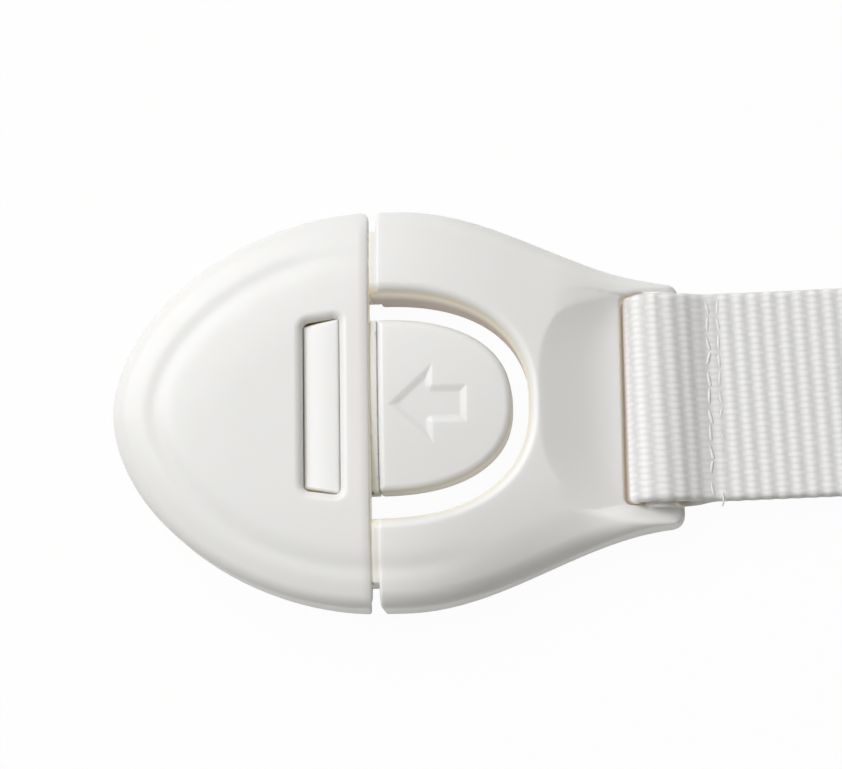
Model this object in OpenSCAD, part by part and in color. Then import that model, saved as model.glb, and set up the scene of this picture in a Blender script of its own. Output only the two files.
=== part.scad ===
// Cabinet safety lock: a stick-on latch, a push-button buckle, a webbing strap and a stick-on anchor.
// Lengths are in millimetres. +X runs from the latch along the strap, +Z is away from the cabinet.
// The origin is the middle of the latch's adhesive face.

/* [Latch housing] */
// Overall width of the latch and of the buckle
body_w = 39; // [36:0.5:46]
// Length of the latch from its tip to its mouth
latch_len = 25; // [22:0.5:32]
// Height of the moulded top above the cabinet
body_h = 8.8; // [8.6:0.1:11]
// Fullness of the half-oval outlines, where 2 is an ellipse
oval_power = 1.85; // [1.7:0.05:2.2]
// Thickness of the latch's side wall
wall = 2; // [1.6:0.1:2.6]
// Thickness of the thin rim that surrounds the back plates
rim = 1.1; // [0.8:0.1:1.3]
// Radius of the rounded top edge
edge_r = 2.4; // [1.5:0.1:3.2]
// Distance of the decorative groove from the outline
groove_in = 3.6; // [3.2:0.1:4.5]
// Depth of the decorative groove below the crest beside it
groove_depth = 0.15; // [0.1:0.05:0.5]
// Length of the slope from the groove up to the flat top
groove_run = 2.8; // [1.5:0.1:3.2]
// Length over which the groove fades along a tail
groove_fade = 12; // [6:1:20]
// Height of the flat top above the crest beside the groove
groove_rise = 0.55; // [0.1:0.05:0.7]

/* [Adhesive base] */
// Thickness of the release liner
liner_t = 0.1; // [0.05:0.05:0.3]
// Thickness of the foam adhesive pad
pad_t = 1; // [0.5:0.1:2]
// Distance of the pad's edge from the outline
pad_inset = 1.5; // [0.8:0.1:3]
// Thickness of the back plates
plate_t = 1.2; // [0.8:0.1:1.6]
// Clearance round the back plates
plate_clear = 0.15; // [0.05:0.05:0.3]
// Radius of the back plates' locating pegs
peg_r = 1.2; // [0.8:0.1:1.5]
// Height of the locating pegs
peg_h = 2; // [1:0.1:2.5]
// Distance of the latch's locating pegs from the middle
peg_y = 5; // [3:0.5:7]
// Clearance of the locating pegs
peg_clear = 0.05; // [0.02:0.01:0.1]

/* [Socket and insert] */
// Depth to which the buckle reaches into the latch
insert_depth = 17; // [15:0.5:18]
// Height of the buckle's insert
insert_h = 4.2; // [3.9:0.1:4.6]
// Sliding clearance of the insert above and below
slide_clear = 0.2; // [0.1:0.05:0.3]
// Sliding clearance of the insert at its sides and end
side_clear = 0.3; // [0.2:0.05:0.5]
// Gap between the latch and the buckle
seam_gap = 0.7; // [0.4:0.1:1.2]
// Depth of the seam, from the moulded top down to the ledges that close it
seam_depth = 0.7; // [0.6:0.1:1.2]
// Play between those ledges and the latch's mouth
seam_play = 0.1; // [0.1:0.05:0.3]
// Length of the insert's crossbar
crossbar_len = 3.6; // [3.4:0.1:4.5]
// Least width of the insert's prongs
prong_w = 1.6; // [1.2:0.1:1.8]

/* [Window and catch] */
// Length of the window in the latch's roof
window_len = 3.6; // [3:0.1:5]
// Width of the window at its side nearer the mouth
window_w = 17.4; // [14:0.2:17.8]
// How much narrower each side of the window is at the far side
window_flare = 0.5; // [0:0.1:1]
// Distance from the window to the latch's mouth
window_strip = 2.9; // [2.4:0.1:4]
// Radius of the window's corners
window_r = 0.6; // [0.3:0.1:1]
// How far the catch stands up behind the roof's underside
catch_h = 1.2; // [0.8:0.1:1.4]
// Play between the catch and the window's wall
catch_gap = 0.25; // [0.1:0.05:0.4]
// Gap at the catch's sides and low end
catch_side = 0.4; // [0.3:0.05:0.8]
// How far the catch's low end stands above the roof's underside
catch_low = 0.2; // [0:0.05:0.4]
// How much narrower each side of the catch is at its low end
catch_taper = 1; // [0.5:0.1:1.4]

/* [Button and arm] */
// Width of the button and of the arm
button_w = 16.8; // [15:0.2:18]
// Length of the button
button_len = 12.95; // [11:0.05:14]
// Fullness of the button's rounded outline, where 2 is an ellipse
button_power = 2.35; // [2:0.05:3]
// Height of the button's face below the moulded top
button_drop = 0.4; // [0:0.1:1]
// Width of the gap at each side of the button
u_side = 2.6; // [1.6:0.1:2.8]
// Width of the gap at the button's round end
u_end = 1.6; // [1.2:0.1:2.2]
// Thickness of the arm
arm_t = 1.5; // [1.2:0.1:1.8]
// Height of the arm's pivot above the insert's underside
pivot_h = 2.4; // [2.2:0.1:2.6]
// Radius of the arm's round root
knuckle_r = 1.15; // [1:0.05:1.3]
// Running clearance of the round root
knuckle_clear = 0.06; // [0.03:0.01:0.1]
// Clearance at each end of the round root
root_side = 0.4; // [0.2:0.1:0.8]
// Thickness of the crossbar behind the round seat
seat_back = 0.8; // [0.6:0.1:1]
// Room above and below the arm where it leaves the crossbar
arm_room = 0.25; // [0.1:0.05:0.3]
// Length of the arrow
arrow_len = 7.6; // [6:0.1:8.4]
// Width of the arrow's head
arrow_w = 7.9; // [5:0.1:9]
// Width of the arrow's shaft
arrow_shaft = 3.6; // [2:0.1:4.5]
// Length of the arrow's head
arrow_head = 4.3; // [3:0.1:5]
// Distance of the arrow's tip from the button's straight edge
arrow_edge = 1.05; // [0.8:0.05:2]
// Depth of the arrow's recess
arrow_depth = 0.3; // [0.2:0.1:0.8]

/* [Buckle tail] */
// Length of the buckle outside the latch
buckle_len = 29.3; // [28:0.1:34]
// Length over which the buckle keeps its full width
shoulder_len = 1.9; // [0:0.1:4]
// Length beyond a tail's end where its narrowing curve would end
tail_ease = 1; // [0:0.5:4]
// Width of the tails that hold the strap
tail_w = 23.6; // [22.6:0.2:25]
// Corner radius at the tails' ends
tail_r = 1.2; // [0.4:0.1:1.4]
// Radius of the lengthwise crown of the tops
crown_r = 130; // [110:5:250]
// Distance from the scoop's crease to the slot
scoop_len = 6.9; // [5:0.1:8]
// Fall of the scoop from its crease to the slot
scoop_fall = 2.4; // [1.5:0.1:3]
// Radius of the scooped hollow in front of the slot
scoop_r = 45; // [40:1:90]
// Thickness of the moulded skin over the hollows underneath
skin_t = 1.8; // [1.2:0.1:2.2]

/* [Strap] */
// Width of the webbing
strap_w = 20.2; // [15:0.1:20.6]
// Thickness of the webbing
strap_t = 1.3; // [0.8:0.1:1.4]
// Length of the strap from bar to bar
strap_len = 100; // [80:5:200]
// Clearance at each edge of the webbing
strap_side = 0.2; // [0.15:0.05:0.5]
// Radius of the bars that the strap is looped round
bar_r = 1.6; // [1.2:0.1:1.7]
// Clearance between a bar and its loop
bar_clear = 0.1; // [0.05:0.05:0.15]
// Height of the bars above the cabinet
bar_z = 3.7; // [3.6:0.1:4.2]
// Distance from a bar's axis to the tail's end
bar_to_end = 2.2; // [2:0.1:4]
// Room between a loop and the wall of its slot
loop_room = 0.15; // [0.1:0.05:1]
// Distance from a bar's axis to the sewing
sew_in = 4.8; // [4.4:0.1:9]
// Length of the turned-back end beyond the sewing
turn_back = 4; // [3:0.5:10]
// Gap in the middle of the strap where it folds
fold_gap = 0.3; // [0.2:0.1:0.6]
// Thickness of the sewing thread
thread_t = 0.45; // [0.3:0.05:0.6]
// Number of sewing stitches across the webbing
stitches = 10; // [6:1:14]
// Width of the zig-zag of stitches along the strap
zigzag = 0.8; // [0.6:0.1:2.4]
// Distance from the start of the sewn layers to the zig-zag
stitch_in = 0.3; // [0.3:0.1:1]

/* [Anchor] */
// Overall width of the anchor
anchor_w = 36; // [32:0.5:44]
// Length of the anchor's round end
anchor_oval_len = 18; // [15:0.5:26]
// Length of the anchor's tail
anchor_tail_len = 20; // [18:0.5:26]
// Height of the anchor's top above the cabinet
anchor_h = 7.6; // [7.4:0.1:9]
// Height of the fine step from the anchor's round end up to its tail
anchor_step = 0.15; // [0.05:0.05:0.4]
// Radius of the two hollows under the anchor's top
hollow_r = 4; // [2:0.5:5]
// Distance of those hollows from the middle
hollow_y = 6; // [5.5:0.5:8]
// Distance of those hollows from the tail's root
hollow_x = 7; // [6:0.5:10]

/* [Hidden] */
$fn = 64;
// Number of straight pieces along a half-oval outline and along a quarter of a rounded edge
oval_steps = 48;
edge_steps = 5;
// Number of straight pieces round a corner of the window
corner_steps = 6;
// Number of cross sections along a tail
tail_steps = 28;
// How far a cutting shape reaches past the face that it cuts, and a joined shape into its neighbour
over = 1;
join = 0.2;
// Gap between the sewing threads and the webbing
thread_lift = 0.02;

pad_z = liner_t;
plate_z = pad_z + pad_t;
floor_z = plate_z + plate_t;
insert_z = floor_z + slide_clear;
insert_top = insert_z + insert_h;
roof_z = insert_top + slide_clear;
pivot_z = insert_z + pivot_h;
arm_z = pivot_z - arm_t / 2;
arm_top = arm_z + arm_t;
catch_top = roof_z + catch_h;
button_top = body_h - button_drop;
ledge_top = body_h - seam_depth;

// Lengths along X are measured from the latch's mouth, which lies at mouth_x in the part's frame
pad_mouth = pad_inset;
mouth_x = (latch_len - pad_inset + pad_mouth) / 2;
window_x = -window_strip - window_len;
pivot_x = -insert_depth + knuckle_r + knuckle_clear + seat_back;
insert_inset = wall + side_clear;
insert_half = body_w / 2 - insert_inset;
tongue_half = button_w / 2 + u_side;
peg_x = -(insert_depth + side_clear + latch_len - wall) / 2;
tail_end = seam_gap + buckle_len;
bar_x = tail_end - bar_to_end;
loop_in = bar_r + bar_clear;
loop_out = loop_in + strap_t;
slot_half = strap_w / 2 + strap_side;
slot_back = loop_out + loop_room;
anchor_bar = anchor_tail_len - bar_to_end;
far_bar_x = bar_x + strap_len;
run_z = bar_z + strap_t / 2;

plastic = [0.93, 0.93, 0.90];
plate_tone = [0.88, 0.88, 0.85];
foam = [0.80, 0.80, 0.78];
film = [0.95, 0.90, 0.72];
webbing = [0.92, 0.93, 0.94];
thread = [0.97, 0.97, 0.96];

// A point of the half-oval outline that is a long and b wide to each side, at angle t from its tip
function oval_point(t, a, b) =
  [-a * pow(cos(t), 2 / oval_power), b * sign(t) * pow(abs(sin(t)), 2 / oval_power)];

// The outward direction at a point of that outline
function oval_normal(p, a, b) =
  let (g = [-pow(abs(p.x) / a, oval_power - 1) / a, sign(p.y) * pow(abs(p.y) / b, oval_power - 1) / b])
  g / norm(g);

// The half-oval outline, moved inwards
function oval_outline(a, b, inset) =
  [for (i = [0 : oval_steps])
    let (p = oval_point(90 - 180 * i / oval_steps, a, b))
    p - inset * oval_normal(p, a, b)];

// A moulded top from its rounded edge to the end of its slope, with a groove of some depth between them,
// as [distance from the wall, distance below the top]
function top_profile(groove) =
  concat(
    [for (i = [0 : edge_steps])
      let (q = 90 * i / edge_steps)
      [edge_r * (1 - cos(q)), groove_rise + edge_r * (1 - sin(q))]],
    [[groove_in, groove_rise + groove], [groove_in + groove_run, 0]]);

// Half of a tail's width at a distance from its root, falling smoothly and rounded at the end
function tail_half(x, len, w) =
  let (fall = len + tail_ease - shoulder_len,
       s = min(1, max(0, (x - shoulder_len) / fall)),
       corner = max(0, x - len + tail_r))
  tail_w / 2 + (w - tail_w) / 4 * (1 + cos(180 * s)) - tail_r + sqrt(tail_r * tail_r - corner * corner);

// The height of a tail's crowned top at a distance from its root
function crown_top(x, top) = top - x * x / (2 * crown_r);

// A list from its end to its start
function reversed(list) = [for (i = [len(list) - 1 : -1 : 0]) list[i]];

// A cross section of a tail
function tail_section(x, len, w, top) =
  let (half = tail_half(x, len, w),
       z = crown_top(x, top),
       edge = top_profile(groove_depth * max(0, 1 - x / groove_fade)))
  concat(
    [[-half, plate_z], [half, plate_z]],
    [for (e = edge) [half - e.x, z - e.y]],
    [for (e = reversed(edge)) [e.x - half, z - e.y]]);

// The centre of the scoop's circle of radius scoop_r through the crease and the slot's lip
function scoop_centre(crease, lip) =
  let (d = lip - crease, mid = (crease + lip) / 2, rise = sqrt(scoop_r * scoop_r - d * d / 4))
  mid + rise * [-d.y, d.x] / norm(d);

module at_mouth() { translate([mouth_x, 0, 0]) children(); }

// The anchor is drawn like the latch and buckle, with its tail along +X, and then turned to face the buckle
module at_anchor() {
  translate([mouth_x + far_bar_x + anchor_bar, 0, 0]) rotate([0, 0, 180]) children();
}

// A solid through rings of points that run anticlockwise seen from the last ring
module skin(rings) {
  n = len(rings);
  m = len(rings[0]);
  sides = [for (i = [0 : n - 2], j = [0 : m - 1])
    let (k = (j + 1) % m, a = i * m + j, b = (i + 1) * m + j, c = (i + 1) * m + k, d = i * m + k)
    each [[a, b, c], [a, c, d]]];
  first = [for (j = [0 : m - 1]) j];
  last = [for (j = [m - 1 : -1 : 0]) (n - 1) * m + j];
  polyhedron([for (r = rings) each r], concat(sides, [first, last]));
}

// The half-oval body with its rounded edge and soft groove
module oval_body(a, w, top) {
  profile = concat([[0, plate_z]], [for (e = top_profile(groove_depth)) [e.x, top - e.y]]);
  skin([for (p = profile) [for (q = oval_outline(a, w / 2, p.x)) [q.x, q.y, p.y]]]);
}

// A half-oval slab, straight at the mouth, which is drawn back from the mouth's plane
module oval_slab(a, w, inset, mouth, z, h) {
  translate([0, 0, z]) linear_extrude(h) intersection() {
    polygon(oval_outline(a, w / 2, inset));
    translate([-a - mouth, -w]) square([a, 2 * w]);
  }
}

// The crowned body that narrows to the strap's tail
module tail_body(len, w, top) {
  skin([for (i = [0 : tail_steps])
    let (x = len * i / tail_steps)
    [for (p = tail_section(x, len, w, top)) [x, p.x, p.y]]]);
}

// What a tail loses to the strap: the open slot at its end and the scoop in front of it
module strap_space(len, top) {
  lip_x = len - bar_to_end - slot_back;
  crease = [lip_x - scoop_len, crown_top(lip_x - scoop_len, top)];
  centre = scoop_centre(crease, crease + [scoop_len, -scoop_fall]);
  translate([lip_x, -slot_half, plate_z - over]) cube([slot_back + bar_to_end + over, 2 * slot_half, top]);
  translate([centre.x, 0, centre.y]) sphere(scoop_r, $fn = 128);
}

// The bar across a tail
module strap_bar(len) {
  translate([len - bar_to_end, 0, bar_z]) rotate([90, 0, 0])
    cylinder(r = bar_r, h = 2 * (slot_half + join), center = true);
}

// Points of a rounded corner of radius window_r about a centre, from one angle to another
function corner_points(c, from, to) =
  [for (i = [0 : corner_steps])
    let (q = from + (to - from) * i / corner_steps)
    c + window_r * [cos(q), sin(q)]];

// The window's outline, wider towards the mouth
module window_outline() {
  lean = atan(window_flare / window_len);
  inner = window_w / 2 - window_flare - window_r;
  outer = window_w / 2 - window_r;
  left = window_x + window_r;
  right = window_x + window_len - window_r;
  polygon(concat(
    corner_points([right, -outer], 270 - lean, 360), corner_points([right, outer], 0, 90 + lean),
    corner_points([left, inner], 90 + lean, 180), corner_points([left, -inner], 180, 270 - lean)));
}

// The button's outline: straight at the latch and round at the tail, moved outwards at its sides and its end
module button_outline(side, end, back) {
  half = button_w / 2 + side;
  edge = [for (i = [0 : oval_steps])
    let (t = 90 - 180 * i / oval_steps)
    [seam_gap + (button_len + end) * pow(abs(cos(t)), 2 / button_power),
     half * sign(t) * pow(abs(sin(t)), 2 / button_power)]];
  polygon(concat(edge, back > 0 ? [[seam_gap - back, -half], [seam_gap - back, half]] : []));
}

module arrow_outline() {
  tip = seam_gap + arrow_edge;
  polygon([
    [tip, 0], [tip + arrow_head, arrow_w / 2], [tip + arrow_head, arrow_shaft / 2],
    [tip + arrow_len, arrow_shaft / 2], [tip + arrow_len, -arrow_shaft / 2],
    [tip + arrow_head, -arrow_shaft / 2], [tip + arrow_head, -arrow_w / 2]]);
}

module pegs(r, h) {
  for (y = [-peg_y, peg_y]) translate([peg_x, y, floor_z]) cylinder(r = r, h = h);
}

module latch_cover() {
  color(plastic) at_mouth() difference() {
    oval_body(latch_len, body_w, body_h);
    // seat of the back plate
    oval_slab(latch_len, body_w, rim, -over, plate_z - over, floor_z - plate_z + over);
    // socket for the buckle's insert
    intersection() {
      oval_slab(latch_len, body_w, wall, 0, floor_z - join, roof_z - floor_z + join);
      translate([-insert_depth - side_clear, -body_w, 0]) cube([2 * body_w, 2 * body_w, body_h]);
    }
    translate([-join, -body_w / 2 + wall, floor_z - join])
      cube([over, body_w - 2 * wall, roof_z - floor_z + join]);
    pegs(peg_r + peg_clear, peg_h + peg_clear);
    translate([0, 0, roof_z - join]) linear_extrude(body_h) window_outline();
  }
}

module latch_back_plate() {
  color(plate_tone) at_mouth() {
    oval_slab(latch_len, body_w, rim + plate_clear, 0, plate_z, plate_t);
    translate([0, 0, -join]) pegs(peg_r, peg_h + join);
  }
}

module latch_adhesive_pad() {
  color(foam) at_mouth() oval_slab(latch_len, body_w, pad_inset, pad_mouth, pad_z, pad_t);
}

module latch_release_liner() {
  color(film) at_mouth() oval_slab(latch_len, body_w, pad_inset, pad_mouth, 0, liner_t);
}

// The opening between the prongs, narrower where the latch's outline leaves less room
module prong_opening() {
  intersection() {
    translate([-insert_depth + crossbar_len, -tongue_half]) square([insert_depth, 2 * tongue_half]);
    polygon(oval_outline(latch_len, body_w / 2, insert_inset + prong_w));
  }
  translate([-join, -tongue_half]) square([seam_gap + 3 * join, 2 * tongue_half]);
}

// The prongs and the crossbar that go into the latch, with the ledges in the seam
module insert() {
  translate([0, 0, insert_z]) linear_extrude(insert_h) difference() {
    union() {
      intersection() {
        polygon(oval_outline(latch_len, body_w / 2, insert_inset));
        translate([-insert_depth, -body_w]) square([insert_depth, 2 * body_w]);
      }
      translate([-join, -insert_half]) square([seam_gap + 2 * join, 2 * insert_half]);
    }
    prong_opening();
  }
  for (side = [-1, 1])
    translate([seam_play, side * (tongue_half + insert_half) / 2 - (insert_half - tongue_half) / 2, insert_z])
      cube([seam_gap - seam_play + join, insert_half - tongue_half, ledge_top - insert_z]);
}

// The round seat of the arm's root, open towards the button
module knuckle_seat() {
  room = arm_t / 2 + arm_room;
  half = button_w / 2 + root_side;
  translate([pivot_x, 0, pivot_z]) rotate([90, 0, 0])
    cylinder(r = knuckle_r + knuckle_clear, h = 2 * half, center = true);
  translate([pivot_x, -half, pivot_z - room]) cube([crossbar_len, 2 * half, 2 * room]);
}

// The hollows under the buckle's rails and under its shoulder
module buckle_hollows() {
  rail_x = seam_gap + skin_t;
  rail_end = seam_gap + button_len / 2;
  rail_in = tongue_half + skin_t;
  rail_out = tail_half(rail_end - seam_gap, buckle_len, body_w) - edge_r;
  back_x = seam_gap + button_len + u_end + skin_t;
  back_end = bar_x - slot_back - skin_t;
  back_top = crown_top(back_end - seam_gap, body_h) - scoop_fall - skin_t;
  for (side = [-1, 1], half = [0, 1]) {
    l = (rail_end - rail_x - skin_t) / 2;
    translate([rail_x + half * (l + skin_t), side * (rail_in + rail_out) / 2, plate_z - over])
      translate([0, -(rail_out - rail_in) / 2, 0])
        cube([l, rail_out - rail_in, body_h - edge_r - skin_t - plate_z + over]);
  }
  for (i = [-1 : 1])
    translate([back_x, i * (slot_half * 2 / 3) - slot_half / 3 + skin_t / 2, plate_z - over])
      cube([back_end - back_x, slot_half * 2 / 3 - skin_t, back_top - plate_z + over]);
}

module buckle_frame() {
  color(plastic) at_mouth() difference() {
    union() {
      difference() {
        translate([seam_gap, 0, 0]) tail_body(buckle_len, body_w, body_h);
        translate([seam_gap, 0, 0]) strap_space(buckle_len, body_h);
        translate([0, 0, plate_z - over]) linear_extrude(body_h + over) button_outline(u_side, u_end, over);
        buckle_hollows();
      }
      translate([seam_gap, 0, 0]) strap_bar(buckle_len);
      insert();
    }
    knuckle_seat();
  }
}

// The ramped catch that stands in the window, narrower at its low end
module catch_ramp() {
  low_x = window_x + catch_side;
  high_x = window_x + window_len - catch_gap;
  half = window_w / 2 - catch_side;
  flare = catch_taper / (high_x - low_x) * over;
  intersection() {
    translate([0, body_w / 2, 0]) rotate([90, 0, 0]) linear_extrude(body_w)
      polygon([
        [low_x, arm_top - join], [high_x, arm_top - join],
        [high_x, catch_top], [low_x, roof_z + catch_low]]);
    translate([0, 0, arm_z]) linear_extrude(body_h) polygon([
      [low_x - over, -half + catch_taper + flare], [high_x + over, -half - flare],
      [high_x + over, half + flare], [low_x - over, half - catch_taper - flare]]);
  }
}

module latch_arm() {
  color(plastic) at_mouth() {
    translate([pivot_x, 0, pivot_z]) rotate([90, 0, 0]) cylinder(r = knuckle_r, h = button_w, center = true);
    translate([pivot_x, -button_w / 2, arm_z]) cube([seam_gap - pivot_x, button_w, arm_t]);
    // ledge in the seam
    translate([seam_play, -button_w / 2, arm_z]) cube([seam_gap - seam_play, button_w, ledge_top - arm_z]);
    catch_ramp();
  }
}

module press_button() {
  color(plastic) at_mouth() difference() {
    translate([0, 0, arm_z]) linear_extrude(button_top - arm_z) button_outline(0, 0, 0);
    translate([0, 0, button_top - arrow_depth]) linear_extrude(arrow_depth + over) arrow_outline();
  }
}

// The loop round a bar at the origin and the two layers that meet at the sewing, seen from the side
module loop_profile() {
  difference() {
    union() {
      circle(loop_out);
      polygon([[0, loop_out], [sew_in, strap_t], [sew_in, -strap_t], [0, -loop_out]]);
    }
    circle(loop_in);
    polygon([[0, loop_in], [sew_in, 0], [0, -loop_in]]);
  }
}

// Half of the strap, with its loop round a bar at x = 0 and its run along +X
module strap_half(run) {
  end = sew_in + turn_back;
  translate([0, 0, bar_z]) {
    translate([0, strap_w / 2, 0]) rotate([90, 0, 0]) linear_extrude(strap_w) loop_profile();
    translate([sew_in - join, -strap_w / 2, -strap_t]) cube([turn_back + join, strap_w, 2 * strap_t]);
    translate([end - join, -strap_w / 2, 0]) cube([run - end + join, strap_w, strap_t]);
  }
}

// One side of the sewing, on the webbing's face at height z
module stitch_row(z) {
  step = strap_w / stitches;
  leg = sqrt(zigzag * zigzag + step * step) - thread_t;
  for (i = [0 : stitches - 1])
    translate([sew_in + stitch_in + zigzag / 2, -strap_w / 2 + step * (i + 0.5), z])
      rotate([0, 0, (i % 2 == 0 ? 1 : -1) * atan(zigzag / step)])
        rotate([90, 0, 0]) cylinder(r = thread_t / 2, h = leg, center = true, $fn = 24);
}

module stitching() {
  lift = strap_t + thread_lift + thread_t / 2;
  stitch_row(bar_z + lift);
  stitch_row(bar_z - lift);
}

module strap_near() {
  color(webbing) at_mouth() translate([bar_x, 0, 0]) {
    strap_half(strap_len / 2);
    translate([strap_len / 2, 0, run_z]) rotate([90, 0, 0])
      cylinder(r = strap_t / 2, h = strap_w, center = true);
  }
}

module near_stitching() {
  color(thread) at_mouth() translate([bar_x, 0, 0]) stitching();
}

module strap_far() {
  color(webbing) at_mouth() translate([far_bar_x, 0, 0]) rotate([0, 0, 180])
    strap_half(strap_len / 2 - strap_t / 2 - fold_gap);
}

module far_stitching() {
  color(thread) at_mouth() translate([far_bar_x, 0, 0]) rotate([0, 0, 180]) stitching();
}

// The seat of the anchor's back plate: its round end and a tongue into the tail
module anchor_base(inset, z, h) {
  oval_slab(anchor_oval_len, anchor_w, inset, 0, z, h);
  tongue = anchor_tail_len - bar_to_end - slot_back - inset;
  half = tail_half(tongue, anchor_tail_len, anchor_w) - inset;
  translate([-join, -half, z]) cube([tongue + join, 2 * half, h]);
}

module anchor_cover() {
  skin_z = anchor_h - groove_rise - groove_depth - skin_t;
  color(plastic) at_anchor() {
    difference() {
      union() {
        oval_body(anchor_oval_len, anchor_w, anchor_h);
        translate([-join, 0, 0])
          tail_body(anchor_tail_len + join, anchor_w + 2 * anchor_step, anchor_h + anchor_step);
      }
      strap_space(anchor_tail_len, anchor_h + anchor_step);
      anchor_base(rim, plate_z - over, plate_t + over);
      for (side = [-1, 1])
        translate([-hollow_x, side * hollow_y, floor_z - join])
          cylinder(r = hollow_r, h = skin_z - floor_z + join);
    }
    strap_bar(anchor_tail_len);
  }
}

module anchor_back_plate() {
  color(plate_tone) at_anchor() anchor_base(rim + plate_clear, plate_z, plate_t);
}

module anchor_adhesive_pad() {
  color(foam) at_anchor() anchor_base(pad_inset, pad_z, pad_t);
}

module anchor_release_liner() {
  color(film) at_anchor() anchor_base(pad_inset, 0, liner_t);
}

latch_cover();
latch_back_plate();
latch_adhesive_pad();
latch_release_liner();
buckle_frame();
latch_arm();
press_button();
strap_near();
near_stitching();
strap_far();
far_stitching();
anchor_cover();
anchor_back_plate();
anchor_adhesive_pad();
anchor_release_liner();
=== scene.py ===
"""Looks of a stick-on cabinet safety lock: its latch, push-button buckle, webbing strap and anchor.

Sizes are in millimetres, and lengths along X are taken from the latch's mouth, as in the part's source.
Finished meshes are in metres in the part's frame.
"""

import itertools
import logging
import math
from dataclasses import dataclass, field
from enum import Enum
from typing import Any, Callable, ClassVar, Optional, Sequence, Union

import bpy
import numpy as np
from mathutils import Matrix, Vector


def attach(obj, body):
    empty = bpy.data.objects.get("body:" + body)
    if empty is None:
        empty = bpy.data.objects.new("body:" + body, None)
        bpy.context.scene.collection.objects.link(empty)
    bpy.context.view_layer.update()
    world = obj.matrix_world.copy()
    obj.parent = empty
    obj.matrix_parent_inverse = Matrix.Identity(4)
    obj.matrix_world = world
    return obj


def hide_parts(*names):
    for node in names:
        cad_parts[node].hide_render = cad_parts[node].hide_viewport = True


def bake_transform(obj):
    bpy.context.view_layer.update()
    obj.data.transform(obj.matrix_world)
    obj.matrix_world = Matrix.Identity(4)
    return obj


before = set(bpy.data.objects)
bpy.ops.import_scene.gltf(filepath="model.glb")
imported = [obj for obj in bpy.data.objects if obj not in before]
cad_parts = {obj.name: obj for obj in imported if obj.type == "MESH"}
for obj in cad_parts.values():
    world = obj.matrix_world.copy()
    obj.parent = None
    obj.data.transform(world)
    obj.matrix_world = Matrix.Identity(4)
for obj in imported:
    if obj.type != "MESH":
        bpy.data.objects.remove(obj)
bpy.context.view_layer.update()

LOG = logging.getLogger("cabinet_lock")
MM = 0.001
MOUTH_X = 12.5
PICTURE = (842, 769)
WHITE = (1.0, 1.0, 1.0)

Array = np.ndarray
Piece = bpy.types.Object
Corner = tuple[float, float, float]
Distance = Callable[[Array, Array, Array], Array]
Colour = tuple[float, float, float]
Value = Union["Socket", float, int, tuple, str, Any]


class Body(str, Enum):
    """The moving bodies of the lock."""

    LATCH = "latch"
    BUCKLE = "buckle"
    BUTTON = "button"
    STRAP_NEAR = "strap_near_half"
    STRAP_FAR = "strap_far_half"
    ANCHOR = "anchor"


class Slot(str, Enum):
    """The record's material slots."""

    HOUSING = "housing"
    PLATE = "plate"
    FOAM = "foam"
    LINER = "liner"
    WEBBING = "webbing"
    THREAD = "thread"


# Node trees


def operator(operation: str, reflected: bool = False) -> Callable[["Socket", "Value"], "Socket"]:
    """A method for an operator, with the plain number first where it is reflected.

    Args:
        operation: The Math node's operation.
        reflected: True where the plain number comes first.

    Returns:
        The method.
    """

    def method(self: "Socket", value: "Value") -> "Socket":
        """The operator's Math node."""
        return self.graph.maths(operation, *((value, self) if reflected else (self, value)))

    return method


class Socket:
    """A node's output that can be used in Python expressions."""

    def __init__(self, graph: "Graph", socket: bpy.types.NodeSocket) -> None:
        """Wraps an output of a node in a graph."""
        self.graph = graph
        self.socket = socket

    def other(self, name: str) -> "Socket":
        """Another output of the same node."""
        return Socket(self.graph, self.socket.node.outputs[name])

    def math(self, operation: str, *values: Value) -> "Socket":
        """A Math node on this value and others."""
        return self.graph.maths(operation, self, *values)

    __add__, __radd__ = operator("ADD"), operator("ADD", True)
    __sub__, __rsub__ = operator("SUBTRACT"), operator("SUBTRACT", True)
    __mul__, __rmul__ = operator("MULTIPLY"), operator("MULTIPLY", True)
    __truediv__, __rtruediv__ = operator("DIVIDE"), operator("DIVIDE", True)
    __pow__, __rpow__ = operator("POWER"), operator("POWER", True)


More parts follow.
